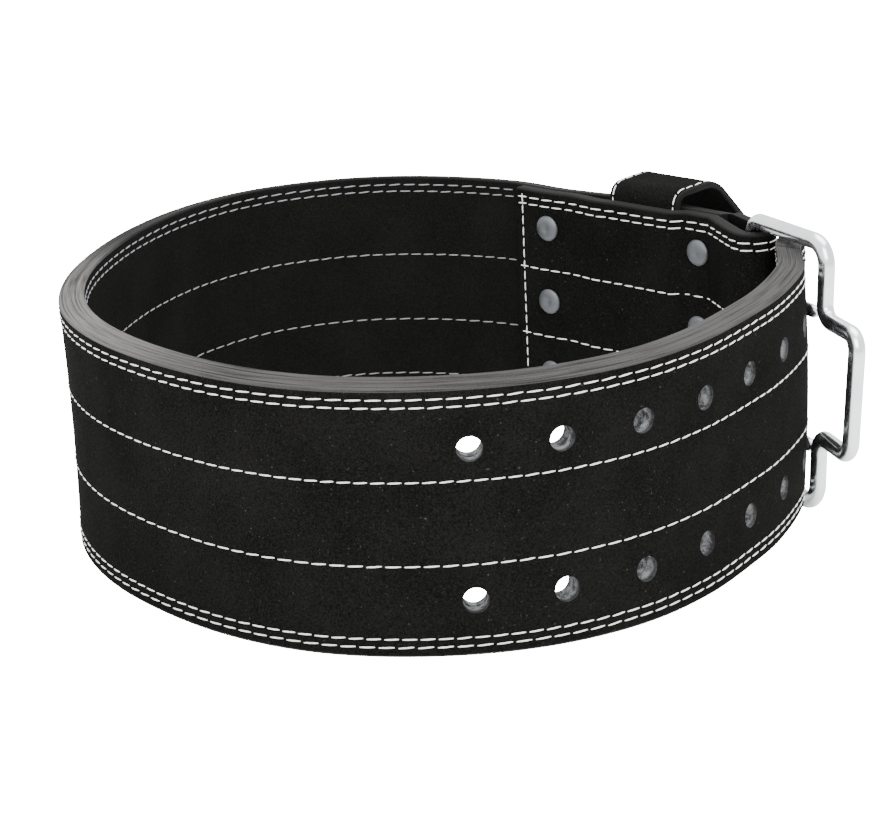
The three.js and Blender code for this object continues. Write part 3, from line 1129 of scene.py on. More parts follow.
class Section:
    """A strap's cross-section: two long walls and two short edges, with rounded corners.

    Attributes:
        wide: Each point's place across the strap, as a share of its thickness.
        high: Each point's place up the strap, as a share of its height.
        around: Each point's coordinate across the surface, in millimetres.
        slots: Material slot of the faces after each point.
    """

    CORNER_TURNS = (22.5, 45.0, 67.5)
    EDGE_POINTS = 4

    def __init__(
        self, thickness: float, height: float, low_corner: float, high_corner: float, levels: int
    ) -> None:
        """Lays out the points round the section.

        Args:
            thickness: Across the strap.
            height: Up the strap.
            low_corner: Radius of the corners on the low side.
            high_corner: Radius of the corners on the high side.
            levels: Points up each wall.
        """
        across = np.linspace(low_corner / thickness, 1 - high_corner / thickness, self.EDGE_POINTS)
        arc = [math.radians(a) for a in self.CORNER_TURNS]
        rows: list[tuple[float, float, float, int]] = []

        def levels_up(corner: float) -> Array:
            """The heights of a wall's points, as shares."""
            return np.linspace(corner / height, 1 - corner / height, levels)

        def corner_at(wide: float, high: float, flip: bool) -> None:
            """Adds a corner's arc.

            Args:
                wide: Share of the thickness at the corner, which is 0 or 1.
                high: Share of the height at the corner, which is 0 or 1.
                flip: Whether the arc runs from the edge to the wall.
            """
            corner = low_corner if wide < 0.5 else high_corner
            centre_w = corner / thickness if wide < 0.5 else 1 - corner / thickness
            centre_h = corner / height if high < 0.5 else 1 - corner / height
            turns = reversed(arc) if flip else arc
            for turn in turns:
                w = centre_w + (1 if wide > 0.5 else -1) * corner / thickness * math.cos(turn)
                h = centre_h + (1 if high > 0.5 else -1) * corner / height * math.sin(turn)
                rows.append((w, h, w * thickness, Wall.EDGE))

        for h in levels_up(high_corner):
            rows.append((1.0, h, h * height, Wall.FACE))
        corner_at(1.0, 1.0, False)
        for w in across[::-1]:
            rows.append((w, 1.0, w * thickness, Wall.EDGE))
        corner_at(0.0, 1.0, True)
        for h in levels_up(low_corner)[::-1]:
            rows.append((0.0, h, h * height, Wall.FACE))
        corner_at(0.0, 0.0, False)
        for w in across:
            rows.append((w, 0.0, w * thickness, Wall.EDGE))
        corner_at(1.0, 0.0, True)
        self.wide = np.array([r[0] for r in rows])
        self.high = np.array([r[1] for r in rows])
        self.around = np.array([r[2] for r in rows])
        on_face = np.array([r[3] == Wall.FACE for r in rows])
        self.slots = np.where(on_face & np.roll(on_face, -1), Wall.FACE.value, Wall.EDGE.value)

    def inset(self, thickness: float, height: float, by: float) -> tuple[Array, Array]:
        """The section's shares, drawn in all round by a distance.

        Args:
            thickness: Across the strap.
            height: Up the strap.
            by: The distance.

        Returns:
            The shares across the strap and up it.
        """
        wide = 0.5 + (self.wide - 0.5) * (1 - 2 * by / thickness)
        high = 0.5 + (self.high - 0.5) * (1 - 2 * by / height)
        return wide, high


@dataclass
class Strap:
    """The two plies of the strap, the fold round the heel bar and the patch, in millimetres.

    Attributes:
        finishes: The belt's finishes.
        corner: Rounding of the cut edges.
        seam_corner: Rounding of the edges between the plies.
        step: Spacing of the sections along the strap.
        patch_step: Spacing of the sections along the patch.
        end_step: Spacing of the last two sections of the patch.
        end_inset: How far the patch's end draws in.
        fold_skip: Points at the fold's beginning that the strap's own sections stand for.
        fold_start: How far round the fold its first section lies.
        levels: Points up each wall.
        seam: Gap that is left between the plies.
        tip_turns: Turns of the tip's first and last section, in degrees.
        tip_sections: Sections round the tip.
        punch_reach: Half the length of the punch.
        punch_sides: Sides of the punch's circle.
    """

    finishes: Finishes
    corner: float = 0.9
    seam_corner: float = 0.12
    step: float = 3.0
    patch_step: float = 2.0
    end_step: float = 0.6
    end_inset: float = 0.63
    fold_skip: int = 2
    fold_start: float = 2.0
    levels: int = 13
    seam: float = 0.06
    tip_turns: tuple[float, float] = (6.0, 86.0)
    tip_sections: int = 18
    punch_reach: float = 10.0
    punch_sides: int = 28

    def rings(self, section: Section, distances: Array, low: float, high: float) -> Array:
        """Sections of a ply along the strap.

        Args:
            section: The ply's section.
            distances: Where the sections lie.
            low: The ply's inner face, out of the strap's middle.
            high: Its outer face.

        Returns:
            Points, ring by ring.
        """
        place = PLAN.at(distances)
        shrink = PLAN.tip_shrink(distances)[:, None]
        out = low + (high - low) * section.wide[None, :]
        top = PLAN.top_at(low) + (PLAN.top_at(high) - PLAN.top_at(low)) * section.wide[None, :]
        level = section.high[None, :] * 2 - 1
        z = PLAN.half + (section.high[None, :] * top - PLAN.half) * shrink
        reach = out + place.flare[:, None] * level**2 * shrink
        flat = place.point[:, None, :] + place.out[:, None, :] * reach[:, :, None]
        return np.concatenate([flat, z[:, :, None]], axis=2)

    def stops(self, begin: float) -> Array:
        """Distances of the sections from a ply's beginning to the tongue's tip.

        Args:
            begin: Where the ply begins.

        Returns:
            The distances.
        """
        straight = PLAN.tip - PLAN.tip_rounding
        body = np.linspace(begin, straight, round((straight - begin) / self.step))
        turns = np.radians(np.linspace(*self.tip_turns, self.tip_sections))
        return np.concatenate([body, straight + PLAN.tip_rounding * np.sin(turns)])

    def inner_ply(self) -> Piece:
        """Builds the inner ply.

        Returns:
            The ply.
        """
        begin = PLAN.near_rivets - PLAN.inner_ply_past_rivets
        stops = self.stops(begin)
        section = Section(PLAN.ply, PLAN.width, self.corner, self.seam_corner, self.levels)
        rings = self.rings(section, stops, -PLAN.body_half, -self.seam / 2)
        skin = Skin(rings, stops, section.around, section.slots, cap_slot=Wall.EDGE)
        return skin.build("inner_ply", [self.finishes.lining, self.finishes.edge])

    def folded_rings(self, line: Array) -> Array:
        """Sections of the outer ply on its own line, round the bar and down the patch.

        Args:
            line: Flat points, at the last of which the patch's rounded end closes.

        Returns:
            Points, ring by ring.
        """
        section = Section(PLAN.ply, PLAN.fold_top, self.seam_corner, self.corner, self.levels)
        slope = unit(np.gradient(line, axis=0))
        out = -side_of(slope)
        rings = []
        for i, (point, across) in enumerate(zip(line, out)):
            wide, high = section.wide, section.high
            if i == len(line) - 1:
                wide, high = section.inset(PLAN.ply, PLAN.fold_top, self.end_inset)
            reach = (wide - 0.5) * PLAN.ply
            flat = point[None, :] + across[None, :] * reach[:, None]
            rings.append(np.column_stack([flat, high * PLAN.fold_top]))
        return np.array(rings)

    def outer_ply(self) -> Piece:
        """Builds the outer ply with its fold and patch.

        Returns:
            The ply.
        """
        stops = self.stops(0.0)[::-1]
        section = Section(PLAN.ply, PLAN.width, self.seam_corner, self.corner, self.levels)
        body = self.rings(section, stops, self.seam / 2, PLAN.body_half)
        fold = PLAN.fold_line()[self.fold_skip:]
        end = PLAN.patch_end
        lay = np.arange(PLAN.patch_start() + self.patch_step, end - 1.5 * self.end_step, self.patch_step)
        line = np.vstack([fold, PLAN.patch_line(np.array([*lay, end - self.end_step, end]))])
        rings = np.concatenate([body, self.folded_rings(line)])
        steps = np.linalg.norm(np.diff(line, axis=0), axis=1)
        past = self.fold_start + np.concatenate([[0.0], np.cumsum(steps)])
        along = np.concatenate([stops, -past])
        skin = Skin(rings, along, section.around, section.slots, cap_slot=Wall.EDGE)
        return skin.build("outer_ply", [self.finishes.suede, self.finishes.edge])

    def punch(self, distance: float, height: float) -> Piece:
        """A round punch across the strap.

        Args:
            distance: Along the strap.
            height: Of its middle.

        Returns:
            The cutter, in the raw fibre's finish.
        """
        place = PLAN.at(distance)
        middle = np.array([*place.point[0], height])
        arm = np.array([*place.out[0], 0.0]) * self.punch_reach
        line = np.array([middle - arm, middle + arm])
        return sweep("punch", line, PLAN.hole_diameter / 2, self.punch_sides, UP, self.finishes.fibre)

    def cutters(self, buckle: "Buckle") -> list[Piece]:
        """Every shape that is cut from a ply: the holes and the prongs' ways.

        Args:
            buckle: The buckle, whose prongs go through the strap.

        Returns:
            The cutters.
        """
        tools = []
        for column in range(PLAN.hole_columns):
            for height in PLAN.hole_heights:
                tools.append(self.punch(PLAN.first_hole - column * PLAN.hole_pitch, height))
        for height in PLAN.hole_heights:
            tools.append(buckle.prong_way(height, self.finishes.fibre))
        return tools

    def build(self, buckle: "Buckle") -> None:
        """Builds, cuts and hands over both plies.

        Args:
            buckle: The buckle, whose prongs go through the strap.
        """
        for make, slot, node in (
            (self.outer_ply, "suede", "outer_leather"),
            (self.inner_ply, "suede_inner", "inner_leather"),
        ):
            ply = make()
            cut(ply, self.cutters(buckle))
            ply.data.set_sharp_from_angle(angle=SHARP_ANGLE)
            ride(ply, slot, node)


def sweep(
    name: str,
    line: Array,
    radius: float | Array,
    sides: int,
    across: Array,
    material: Material,
    closed: bool = False,
) -> Piece:
    """A round bar along a line.

    Args:
        name: The object's name.
        line: The line's points.
        radius: One radius, or one a point.
        sides: Of the bar's circle.
        across: A direction that the line never runs along.
        material: The bar's finish.
        closed: Whether the line joins its own start.

    Returns:
        The bar.
    """
    if closed:
        slope = np.roll(line, -1, axis=0) - np.roll(line, 1, axis=0)
    else:
        slope = np.gradient(line, axis=0)
    ahead = unit(slope)
    wide = unit(across[None, :] - ahead * (ahead @ across)[:, None])
    up = np.cross(ahead, wide)
    turns = np.linspace(0, 2 * math.pi, sides, endpoint=False)
    size = np.broadcast_to(np.asarray(radius, float), (len(line),))[:, None, None]
    rings = line[:, None, :] + size * (
        wide[:, None, :] * np.cos(turns)[None, :, None] + up[:, None, :] * np.sin(turns)[None, :, None]
    )
    along = np.concatenate([[0.0], np.cumsum(np.linalg.norm(np.diff(line, axis=0), axis=1))])
    around = turns * float(np.mean(size))
    return Skin(rings, along, around, np.zeros(sides, int), closed).build(name, [material])


@dataclass
class Buckle:
    """One bent bar with a grip, and its two prongs, in millimetres and degrees.

    Attributes:
        finishes: The belt's finishes.
        clearance: Between the legs and the strap's edges.
        lean: Lean of the frame's front.
        corner: Corner radius at the front.
        heel_corner: Corner radius at the heel bar.
        grip_depth: How far the grip stands out of the front bar.
        grip_height: Its height.
        grip_turn: Its turn against the frame.
        grip_corner: Its corner radius.
        arc_step: Turn between two points of a corner.
        bar_sides: Sides of the bar's circle.
        prong_diameter: Of a prong.
        prong_tip_in: How far the prongs' tips lie inside the frame's plane.
        prong_samples: Samples of a prong's line between two stations.
        prong_step: Spacing of the points along a prong.
        prong_sides: Sides of a prong's circle.
        hook_turns: Turns at which the hook round the heel bar begins and ends, and their step.
        hook_end: Share of a prong along which its hook's end is rounded.
        tip_end: Share of a prong along which its tip is rounded.
        blunt: How much of the rounding is left off at both ends.
    """

    finishes: Finishes
    clearance: float = 0.3
    lean: float = 2.4
    corner: float = 9.0
    heel_corner: float = 5.4
    grip_depth: float = 29.0
    grip_height: float = 49.0
    grip_turn: float = -8.0
    grip_corner: float = 6.5
    arc_step: float = 7.0
    bar_sides: int = 28
    prong_diameter: float = 5.4
    prong_tip_in: float = 0.6
    prong_samples: int = 24
    prong_step: float = 1.2
    prong_sides: int = 20
    hook_turns: tuple[int, int, int] = (200, 10, -12)
    hook_end: float = 0.03
    tip_end: float = 0.05
    blunt: float = 0.06

    def point(self, ahead: float, height: float, out: float) -> Array:
        """A point of the leaning frame.

        Args:
            ahead: From the heel bar.
            height: Above the strap's lower edge.
            out: Across the frame.

        Returns:
            The point.
        """
        lean = (height - PLAN.half) * math.tan(math.radians(self.lean)) * ahead / PLAN.frame_length
        flat = PLAN.heel + PLAN.frame_ahead * ahead + PLAN.frame_out * (lean + out)
        return np.array([*flat, height])

    def bar(self) -> Piece:
        """Builds the bent bar.

        Returns:
            The bar.
        """
        radius = PLAN.bar_diameter / 2
        leg = PLAN.half + self.clearance + radius
        low, high = PLAN.half - leg, PLAN.half + leg
        grip_low, grip_high = PLAN.half - self.grip_height / 2, PLAN.half + self.grip_height / 2
        length = PLAN.frame_length
        run = length + self.grip_depth * math.cos(math.radians(self.grip_turn))
        out = self.grip_depth * math.sin(math.radians(self.grip_turn))
        line = rounded_corners([
            (self.point(0, low, 0), self.heel_corner),
            (self.point(length, low, 0), self.corner),
            (self.point(length, grip_low, 0), self.grip_corner),
            (self.point(run, grip_low, out), self.grip_corner),
            (self.point(run, grip_high, out), self.grip_corner),
            (self.point(length, grip_high, 0), self.grip_corner),
            (self.point(length, high, 0), self.corner),
            (self.point(0, high, 0), self.heel_corner),
        ], self.arc_step)
        across = np.array([*PLAN.frame_out, 0.0])
        return sweep("buckle_bar", line, radius, self.bar_sides, across, self.finishes.chrome, closed=True)

    def prong_line(self, height: float) -> Array:
        """A prong's line, from its hook round the heel bar to its tip at the front bar.

        Args:
            height: The prong's height.

        Returns:
            The line's points, one a row.
        """
        hole = PLAN.at(PLAN.first_hole).point[0]
        radius = self.prong_diameter / 2
        hook = PLAN.bar_diameter / 2 + PLAN.metal_gap + radius
        reach = PLAN.frame_length - PLAN.bar_diameter / 2 - PLAN.metal_gap
        tip = self.point(reach, height, -self.prong_tip_in)
        aim = unit(tip[:2] - PLAN.heel)
        side = np.array([-aim[1], aim[0]])
        flat = [
            PLAN.heel + aim * hook * math.cos(math.radians(t)) - side * hook * math.sin(math.radians(t))
            for t in range(*self.hook_turns)
        ]
        flat += [hole, tip[:2]]
        line = evenly(smooth_line(np.array(flat), self.prong_samples), self.prong_step)
        return np.column_stack([line, np.full(len(line), height)])

    def prong(self, height: float) -> Piece:
        """Builds a prong with rounded ends.

        Args:
            height: The prong's height.

        Returns:
            The prong.
        """
        line = self.prong_line(height)
        share = np.linspace(0, 1, len(line))
        ends = np.minimum(share / self.hook_end, (1 - share) / self.tip_end)
        size = self.prong_diameter / 2 * np.sqrt(1 - (1 - np.clip(ends, self.blunt, 1.0)) ** 2)
        return sweep("prong", line, size, self.prong_sides, UP, self.finishes.chrome)

    def prong_way(self, height: float, material: Material) -> Piece:
        """The way that a prong has pressed through the tongue.

        Args:
            height: The prong's height.
            material: The finish of the way's wall.

        Returns:
            The cutter.
        """
        line = self.prong_line(height)
        past = np.linalg.norm(line[:, :2] - PLAN.heel, axis=1) > PLAN.fold_radius + PLAN.ply
        radius = self.prong_diameter / 2 + PLAN.metal_gap
        return sweep("prong_way", line[past], radius, self.prong_sides, UP, material)

    def build(self) -> None:
        """Builds and hands over the bar and both prongs."""
        ride(self.bar(), "chrome", "buckle_frame")
        for height, name in zip(PLAN.hole_heights, ("prong_upper", "prong_lower")):
            prong = self.prong(height)
            prong.name = f"{name}_bar"
            ride(prong, "chrome", name)


class Tree(Wiring):
    """A geometry node tree with named inputs."""

    def __init__(self, name: str) -> None:
        """Starts the tree with a geometry going in and out.

        Args:
            name: The tree's name.
        """
        self.tree = bpy.data.node_groups.new(name, "GeometryNodeTree")
        face = self.tree.interface
        face.new_socket("Geometry", in_out="INPUT", socket_type="NodeSocketGeometry")
        face.new_socket("Geometry", in_out="OUTPUT", socket_type="NodeSocketGeometry")
        self.given = self.tree.nodes.new("NodeGroupInput")
        self.result = self.tree.nodes.new("NodeGroupOutput")

    def input(self, name: str, kind: str) -> Socket:
        """Adds a named input and returns its socket."""
        self.tree.interface.new_socket(name, in_out="INPUT", socket_type=f"NodeSocket{kind}")
        return self.given.outputs[name]

    def node(self, kind: str, wires: dict[str, object], **settings: object) -> bpy.types.Node:
        """Adds a node.

        Args:
            kind: Its type name.
            wires: Numbers or sockets by input name.
            settings: Its properties.

        Returns:
            The node.
        """
        made = self.tree.nodes.new(kind)
        for key, value in settings.items():
            setattr(made, key, value)
        for key, value in wires.items():
            self.feed(made.inputs[key], value)
        return made

    def facing(self, primary: Socket, secondary: Socket) -> Socket:
        """A rotation whose Z follows one direction and whose X leans to another.

        Args:
            primary: The direction that Z follows.
            secondary: The direction that X leans to.

        Returns:
            The rotation.
        """
        made = self.node("FunctionNodeAxesToRotation", {}, primary_axis="Z", secondary_axis="X")
        self.feed(made.inputs[0], primary)
        self.feed(made.inputs[1], secondary)
        return made.outputs[0]

    def attribute(self, name: str) -> Socket:
        """A vector attribute of the points."""
        made = self.node("GeometryNodeInputNamedAttribute", {"Name": name}, data_type="FLOAT_VECTOR")
        return made.outputs["Attribute"]

    def random(self, seed: Socket, least: float, most: float) -> Socket:
        """A random number for each point.

        Args:
            seed: The seed.
            least: The least number.
            most: The greatest.

        Returns:
            The number.
        """
        made = self.node("FunctionNodeRandomValue", {"Seed": seed}, data_type="FLOAT")
        made.inputs[2].default_value = least
        made.inputs[3].default_value = most
        return made.outputs[1]

    def spun(self, rotation: Socket, angle: Socket) -> Socket:
        """A rotation turned further about its own Z axis.

        Args:
            rotation: The rotation.
            angle: The further turn.

        Returns:
            The new rotation.
        """
        turn = self.node("ShaderNodeCombineXYZ", {"Z": angle})
        further = self.node("FunctionNodeEulerToRotation", {"Euler": turn.outputs[0]})
        made = self.node("FunctionNodeRotateRotation", {
            "Rotation": rotation, "Rotate By": further.outputs[0],
        }, rotation_space="LOCAL")
        return made.outputs[0]

    def finish(self, geometry: Socket, material: Socket) -> bpy.types.NodeTree:
        """Makes the instances real, sets their material and ends the tree.

        Args:
            geometry: The instances.
            material: Their material.

        Returns:
            The finished tree.
        """
        real = self.node("GeometryNodeRealizeInstances", {"Geometry": geometry})
        smooth = self.node("GeometryNodeSetShadeSmooth", {"Geometry": real.outputs[0]})
        dressed = self.node("GeometryNodeSetMaterial", {"Geometry": smooth.outputs[0], "Material": material})
        self.tree.links.new(dressed.outputs[0], self.result.inputs[0])
        return self.tree


def apply_tree(obj: Piece, tree: bpy.types.NodeTree, values: dict[str, object]) -> None:
    """Runs a tree on an object and keeps the result as its plain mesh.

    Args:
        obj: The object.
        tree: The tree.
        values: The tree's inputs by name.
    """
    modifier = obj.modifiers.new("make", "NODES")
    modifier.node_group = tree
    for item in tree.interface.items_tree:
        if item.in_out == "INPUT" and item.name in values:
            modifier[item.identifier] = values[item.name]
    bake(obj)


def stitch_tree() -> bpy.types.NodeTree:
    """A tree that sews raised dashes along a line whose points know which way the surface faces.

    Returns:
        The tree.
    """
    sink_share, jitter, sides = 0.45, 0.035, 6
    t = Tree("sewn_row")
    pitch = t.input("Pitch", "Float")
    share = t.input("Dash share", "Float")
    width = t.input("Thread width", "Float")
    rise = t.input("Rise", "Float")
    slant = t.input("Slant", "Float")
    seed = t.input("Seed", "Int")
    material = t.input("Material", "Material")
    curve = t.node("GeometryNodeMeshToCurve", {"Mesh": t.given.outputs["Geometry"]})
    points = t.node(
        "GeometryNodeResampleCurve", {"Curve": curve.outputs[0], "Length": pitch}, mode="LENGTH"
    )
    half = t.math("MULTIPLY", t.math("MULTIPLY", pitch, share), 0.5)
    sink = t.math("MULTIPLY", width, -sink_share)
    starts = t.math("MULTIPLY", half, -1.0)
    ends = [t.node("ShaderNodeCombineXYZ", {"X": x, "Z": sink}) for x in (starts, half)]
    crest = t.node("ShaderNodeCombineXYZ", {"Z": t.math("MULTIPLY", rise, 2.0)})
    arch = t.node("GeometryNodeCurveQuadraticBezier", {
        "Resolution": sides,
        "Start": ends[0].outputs[0],
        "Middle": crest.outputs[0],
        "End": ends[1].outputs[0],
    })
    circle = t.node("GeometryNodeCurvePrimitiveCircle", {
        "Resolution": sides, "Radius": t.math("MULTIPLY", width, 0.5),
    })
    dash = t.node("GeometryNodeCurveToMesh", {
        "Curve": arch.outputs[0], "Profile Curve": circle.outputs[0], "Fill Caps": True,
    })
    tangent = t.node("GeometryNodeInputTangent", {})
    aim = t.facing(t.attribute("facing"), tangent.outputs[0])
    leaned = t.spun(aim, t.math("ADD", slant, t.random(seed, -jitter, jitter)))
    placed = t.node("GeometryNodeInstanceOnPoints", {
        "Points": points.outputs[0], "Instance": dash.outputs[0], "Rotation": leaned,
    })
    return t.finish(placed.outputs[0], material)


def fastener_tree() -> bpy.types.NodeTree:
    """A tree that sets a fastener on every point, facing the way that the point does.

    Returns:
        The tree.
    """
    t = Tree("set_rivets")
    head = t.input("Head", "Object")
    seed = t.input("Seed", "Int")
    material = t.input("Material", "Material")
    info = t.node("GeometryNodeObjectInfo", {"Object": head, "As Instance": True})
    aim = t.facing(t.attribute("facing"), t.attribute("ahead"))
    placed = t.node("GeometryNodeInstanceOnPoints", {
        "Points": t.given.outputs["Geometry"],
        "Instance": info.outputs["Geometry"],
        "Rotation": t.spun(aim, t.random(seed, 0.0, math.tau)),
    })
    return t.finish(placed.outputs[0], material)


def point_mesh(name: str, points: Array, joined: bool, **directions: Array) -> Piece:
    """A mesh of bare points for a tree, with directions on them.

    Args:
        name: The object's name.
        points: Drawn points.
        joined: Whether neighbours are joined into a line.
        directions: Drawn directions by attribute name, one a point.

    Returns:
        The object.
    """
    edges = [(i, i + 1) for i in range(len(points) - 1)] if joined else []
    mesh = bpy.data.meshes.new(name)
    mesh.from_pydata([tuple(p) for p in PLACE.points(points)], edges, [])
    for key, rows in directions.items():
        layer = mesh.attributes.new(key, "FLOAT_VECTOR", "POINT")
        layer.data.foreach_set("vector", PLACE.directions(rows).astype(np.float32).ravel())
    return link(name, mesh)


def merged(name: str, parts: list[Piece], material: Material) -> Piece:
    """Joins plain meshes of one material into one object.

    Args:
        name: The new object's name.
        parts: The objects, which are taken out of the file.
        material: Their material.

    Returns:
        The object.
    """
    bm = bmesh.new()
    for part in parts:
        bm.from_mesh(part.data)
    mesh = bpy.data.meshes.new(name)
    bm.to_mesh(mesh)
    bm.free()
    mesh.materials.clear()
    mesh.materials.append(material)
    mesh.polygons.foreach_set("material_index", [0] * len(mesh.polygons))
    for part in parts:
        drop(part)
    return link(name, mesh)


@dataclass
class Sewing:
    """Every row of white stitches on the strap, in millimetres.

    Attributes:
        finishes: The belt's finishes.
        edge_rows: Distance from the strap's edge and pitch of each row of the edge pair.
        middle_rows: Height from mid-strap and pitch of each single row.
        dash_share: Share of the pitch that shows as a stitch.
        thread_width: Of the thread.
        rise: How far a stitch stands out of the leather.
        slant: Turn of a stitch against its row.
        tip_room: From the middle rows' end to the tongue's tip.
        end_row_inset: From the upright row to the patch's end.
        end_row_pitch: Pitch of the upright row.
        end_row_room: From the upright row's ends to the strap's edges, as it shows outside.
        patch_row_room: From its upper end to the patch's upper edge.
        fold_share: Share of the fold's line that is behind the patch's rows.
        outside_begin: Where the strap's outside rows begin.
        past_patch: From the patch's end to the beginning of the inside rows.
        tip_step: Turn between two points round the tongue's tip, in degrees.
        step: Spacing of a row's points.
        patch_step: Spacing of the points on the patch.
    """

    finishes: Finishes
    edge_rows: tuple[tuple[float, float], ...] = ((3.75, 7.0), (6.8, 6.45))
    middle_rows: tuple[tuple[float, float], ...] = ((14.3, 6.0), (-17.0, 6.75))
    dash_share: float = 0.8
    thread_width: float = 0.64
    rise: float = 0.2
    slant: float = 0.05
    tip_room: float = 13.0
    end_row_inset: float = 4.0
    end_row_pitch: float = 5.0
    end_row_room: float = 8.0
    patch_row_room: float = 3.0
    fold_share: float = 0.45
    outside_begin: float = 3.0
    past_patch: float = 2.0
    tip_step: float = 3.0
    step: float = 2.0
    patch_step: float = 1.5

    def __post_init__(self) -> None:
        """Makes the sewing tree."""
        self.tree = stitch_tree()
        self.seed = 1

    def row(self, points: Array, facing: Array, pitch: float, slant: float) -> Piece:
        """Sews one row.

        Args:
            points: The row's line.
            facing: Which way the surface faces at each point.
            pitch: From one stitch to the next.
            slant: Turn of each stitch against the row.

        Returns:
            The stitches as a plain mesh.
        """
        obj = point_mesh("row", points, True, facing=facing)
        self.seed += 1
        apply_tree(obj, self.tree, {
            "Pitch": pitch * MM, "Dash share": self.dash_share, "Thread width": self.thread_width * MM,
            "Rise": self.rise * MM, "Slant": slant, "Seed": self.seed, "Material": self.finishes.thread,
        })
        return obj

    def on_face(self, distances: Array, heights: Array, side: Side) -> tuple[Array, Array]:
        """Points on a face of the strap.

        Args:
            distances: Along the strap.
            heights: Above its lower edge.
            side: Which face.

        Returns:
            The points, and which way the face looks there.
        """
        place = PLAN.at(distances)
        level = np.asarray(heights) / PLAN.top_at(side.value * PLAN.body_half) * 2 - 1
        reach = side.value * PLAN.body_half + place.flare * level**2 * PLAN.tip_shrink(distances)
        flat = place.point + place.out * reach[:, None]
        out = place.out * side.value
        return np.column_stack([flat, heights]), np.column_stack([out, np.zeros(len(out))])

    def edge_loop(self, side: Side, begin: float, inset: float) -> tuple[Array, Array]:
        """An edge row: along the top, round the tongue's tip and back along the bottom.

        Args:
            side: The face.
            begin: Where the row begins.
            inset: From the strap's edge.

        Returns:
            The points, and which way the face looks there.
        """
        top = PLAN.top_at(side.value * PLAN.body_half)
        straight = PLAN.tip - PLAN.tip_rounding
        body = np.arange(begin, straight, self.step)
        turns = np.radians(np.arange(0.0, 180.0 + self.tip_step / 2, self.tip_step))
        tip = straight + (PLAN.tip_rounding - inset) * np.sin(turns)
        bend = top / 2 + (top / 2 - inset) * np.cos(turns)
        distances = np.concatenate([body, tip, body[::-1]])
        heights = np.concatenate([np.full(len(body), top - inset), bend, np.full(len(body), inset)])
        return self.on_face(distances, heights, side)

    def strap_rows(self, side: Side, begin: float) -> list[Piece]:
        """Sews the rows of one face.

        Args:
            side: The face.
            begin: Where the rows begin.

        Returns:
            The rows.
        """
        rows = []
        for inset, pitch in self.edge_rows:
            rows.append(self.row(*self.edge_loop(side, begin, inset), pitch, self.slant))
        distances = np.arange(begin, PLAN.tip - self.tip_room, self.step)
        for height, pitch in self.middle_rows:
            heights = np.full(len(distances), PLAN.half + height)
            rows.append(self.row(*self.on_face(distances, heights, side), pitch, self.slant))
        return rows

    def end_row(self) -> Piece:
        """Sews the upright row that closes the patch's end, as it shows on the outside.

        Returns:
            The row.
        """
        heights = np.arange(self.end_row_room, PLAN.width - self.end_row_room, self.step)
        distances = np.full(len(heights), PLAN.patch_end - self.end_row_inset)
        return self.row(*self.on_face(distances, heights, Side.OUTER), self.end_row_pitch, 0.0)

    def patch_rows(self) -> list[Piece]:
        """Sews the patch: its rows along and the upright row at its end.

        Returns:
            The rows.
        """
        begin, end = PLAN.patch_start() + self.step, PLAN.patch_end - self.end_row_inset
        distances = np.arange(begin, end, self.patch_step)
        fold = PLAN.fold_line()
        line = np.vstack([fold[round(len(fold) * self.fold_share):], PLAN.patch_line(distances)])
        slope = unit(np.gradient(line, axis=0))
        out = -side_of(slope)
        flat = line + out * PLAN.ply / 2
        facing = np.column_stack([out, np.zeros(len(out))])
        top = PLAN.fold_top
        heights = [(top - inset, pitch) for inset, pitch in self.edge_rows]
        heights += [(PLAN.half + height, pitch) for height, pitch in self.middle_rows]
        heights += [(inset, pitch) for inset, pitch in self.edge_rows]
        rows = []
        for height, pitch in heights:
            points = np.column_stack([flat, np.full(len(flat), height)])
            rows.append(self.row(points, facing, pitch, self.slant))
        up = np.arange(self.edge_rows[0][0], top - self.patch_row_room, self.patch_step)
        last = np.column_stack([np.repeat(flat[-1:], len(up), axis=0), up])
        rows.append(self.row(last, np.repeat(facing[-1:], len(up), axis=0), self.end_row_pitch, 0.0))
        return rows

    def build(self) -> None:
        """Sews the strap and hands the stitches over."""
        outside = self.strap_rows(Side.OUTER, self.outside_begin) + [self.end_row()]
        ride(merged("outer_stitches", outside, self.finishes.thread), "suede")
        inside = self.strap_rows(Side.INNER, PLAN.patch_end + self.past_patch)
        ride(merged("inner_stitches", inside, self.finishes.dull_thread), "suede_inner")
        ride(merged("patch_stitches", self.patch_rows(), self.finishes.thread), "suede")


@dataclass(frozen=True)
class KeeperCorner:
    """A corner of the keeper in a plane across the strap.

    Attributes:
        out: Share of the keeper's depth from the strap's outer face.
        up: Share of the way from under the strap to its top.
        rise: Share of the keeper's rise.
        round: Corner radius as a share of the depth.
        skew: Share of the keeper's skew.
    """

    out: float
    up: float
    rise: float
    round: float
    skew: float


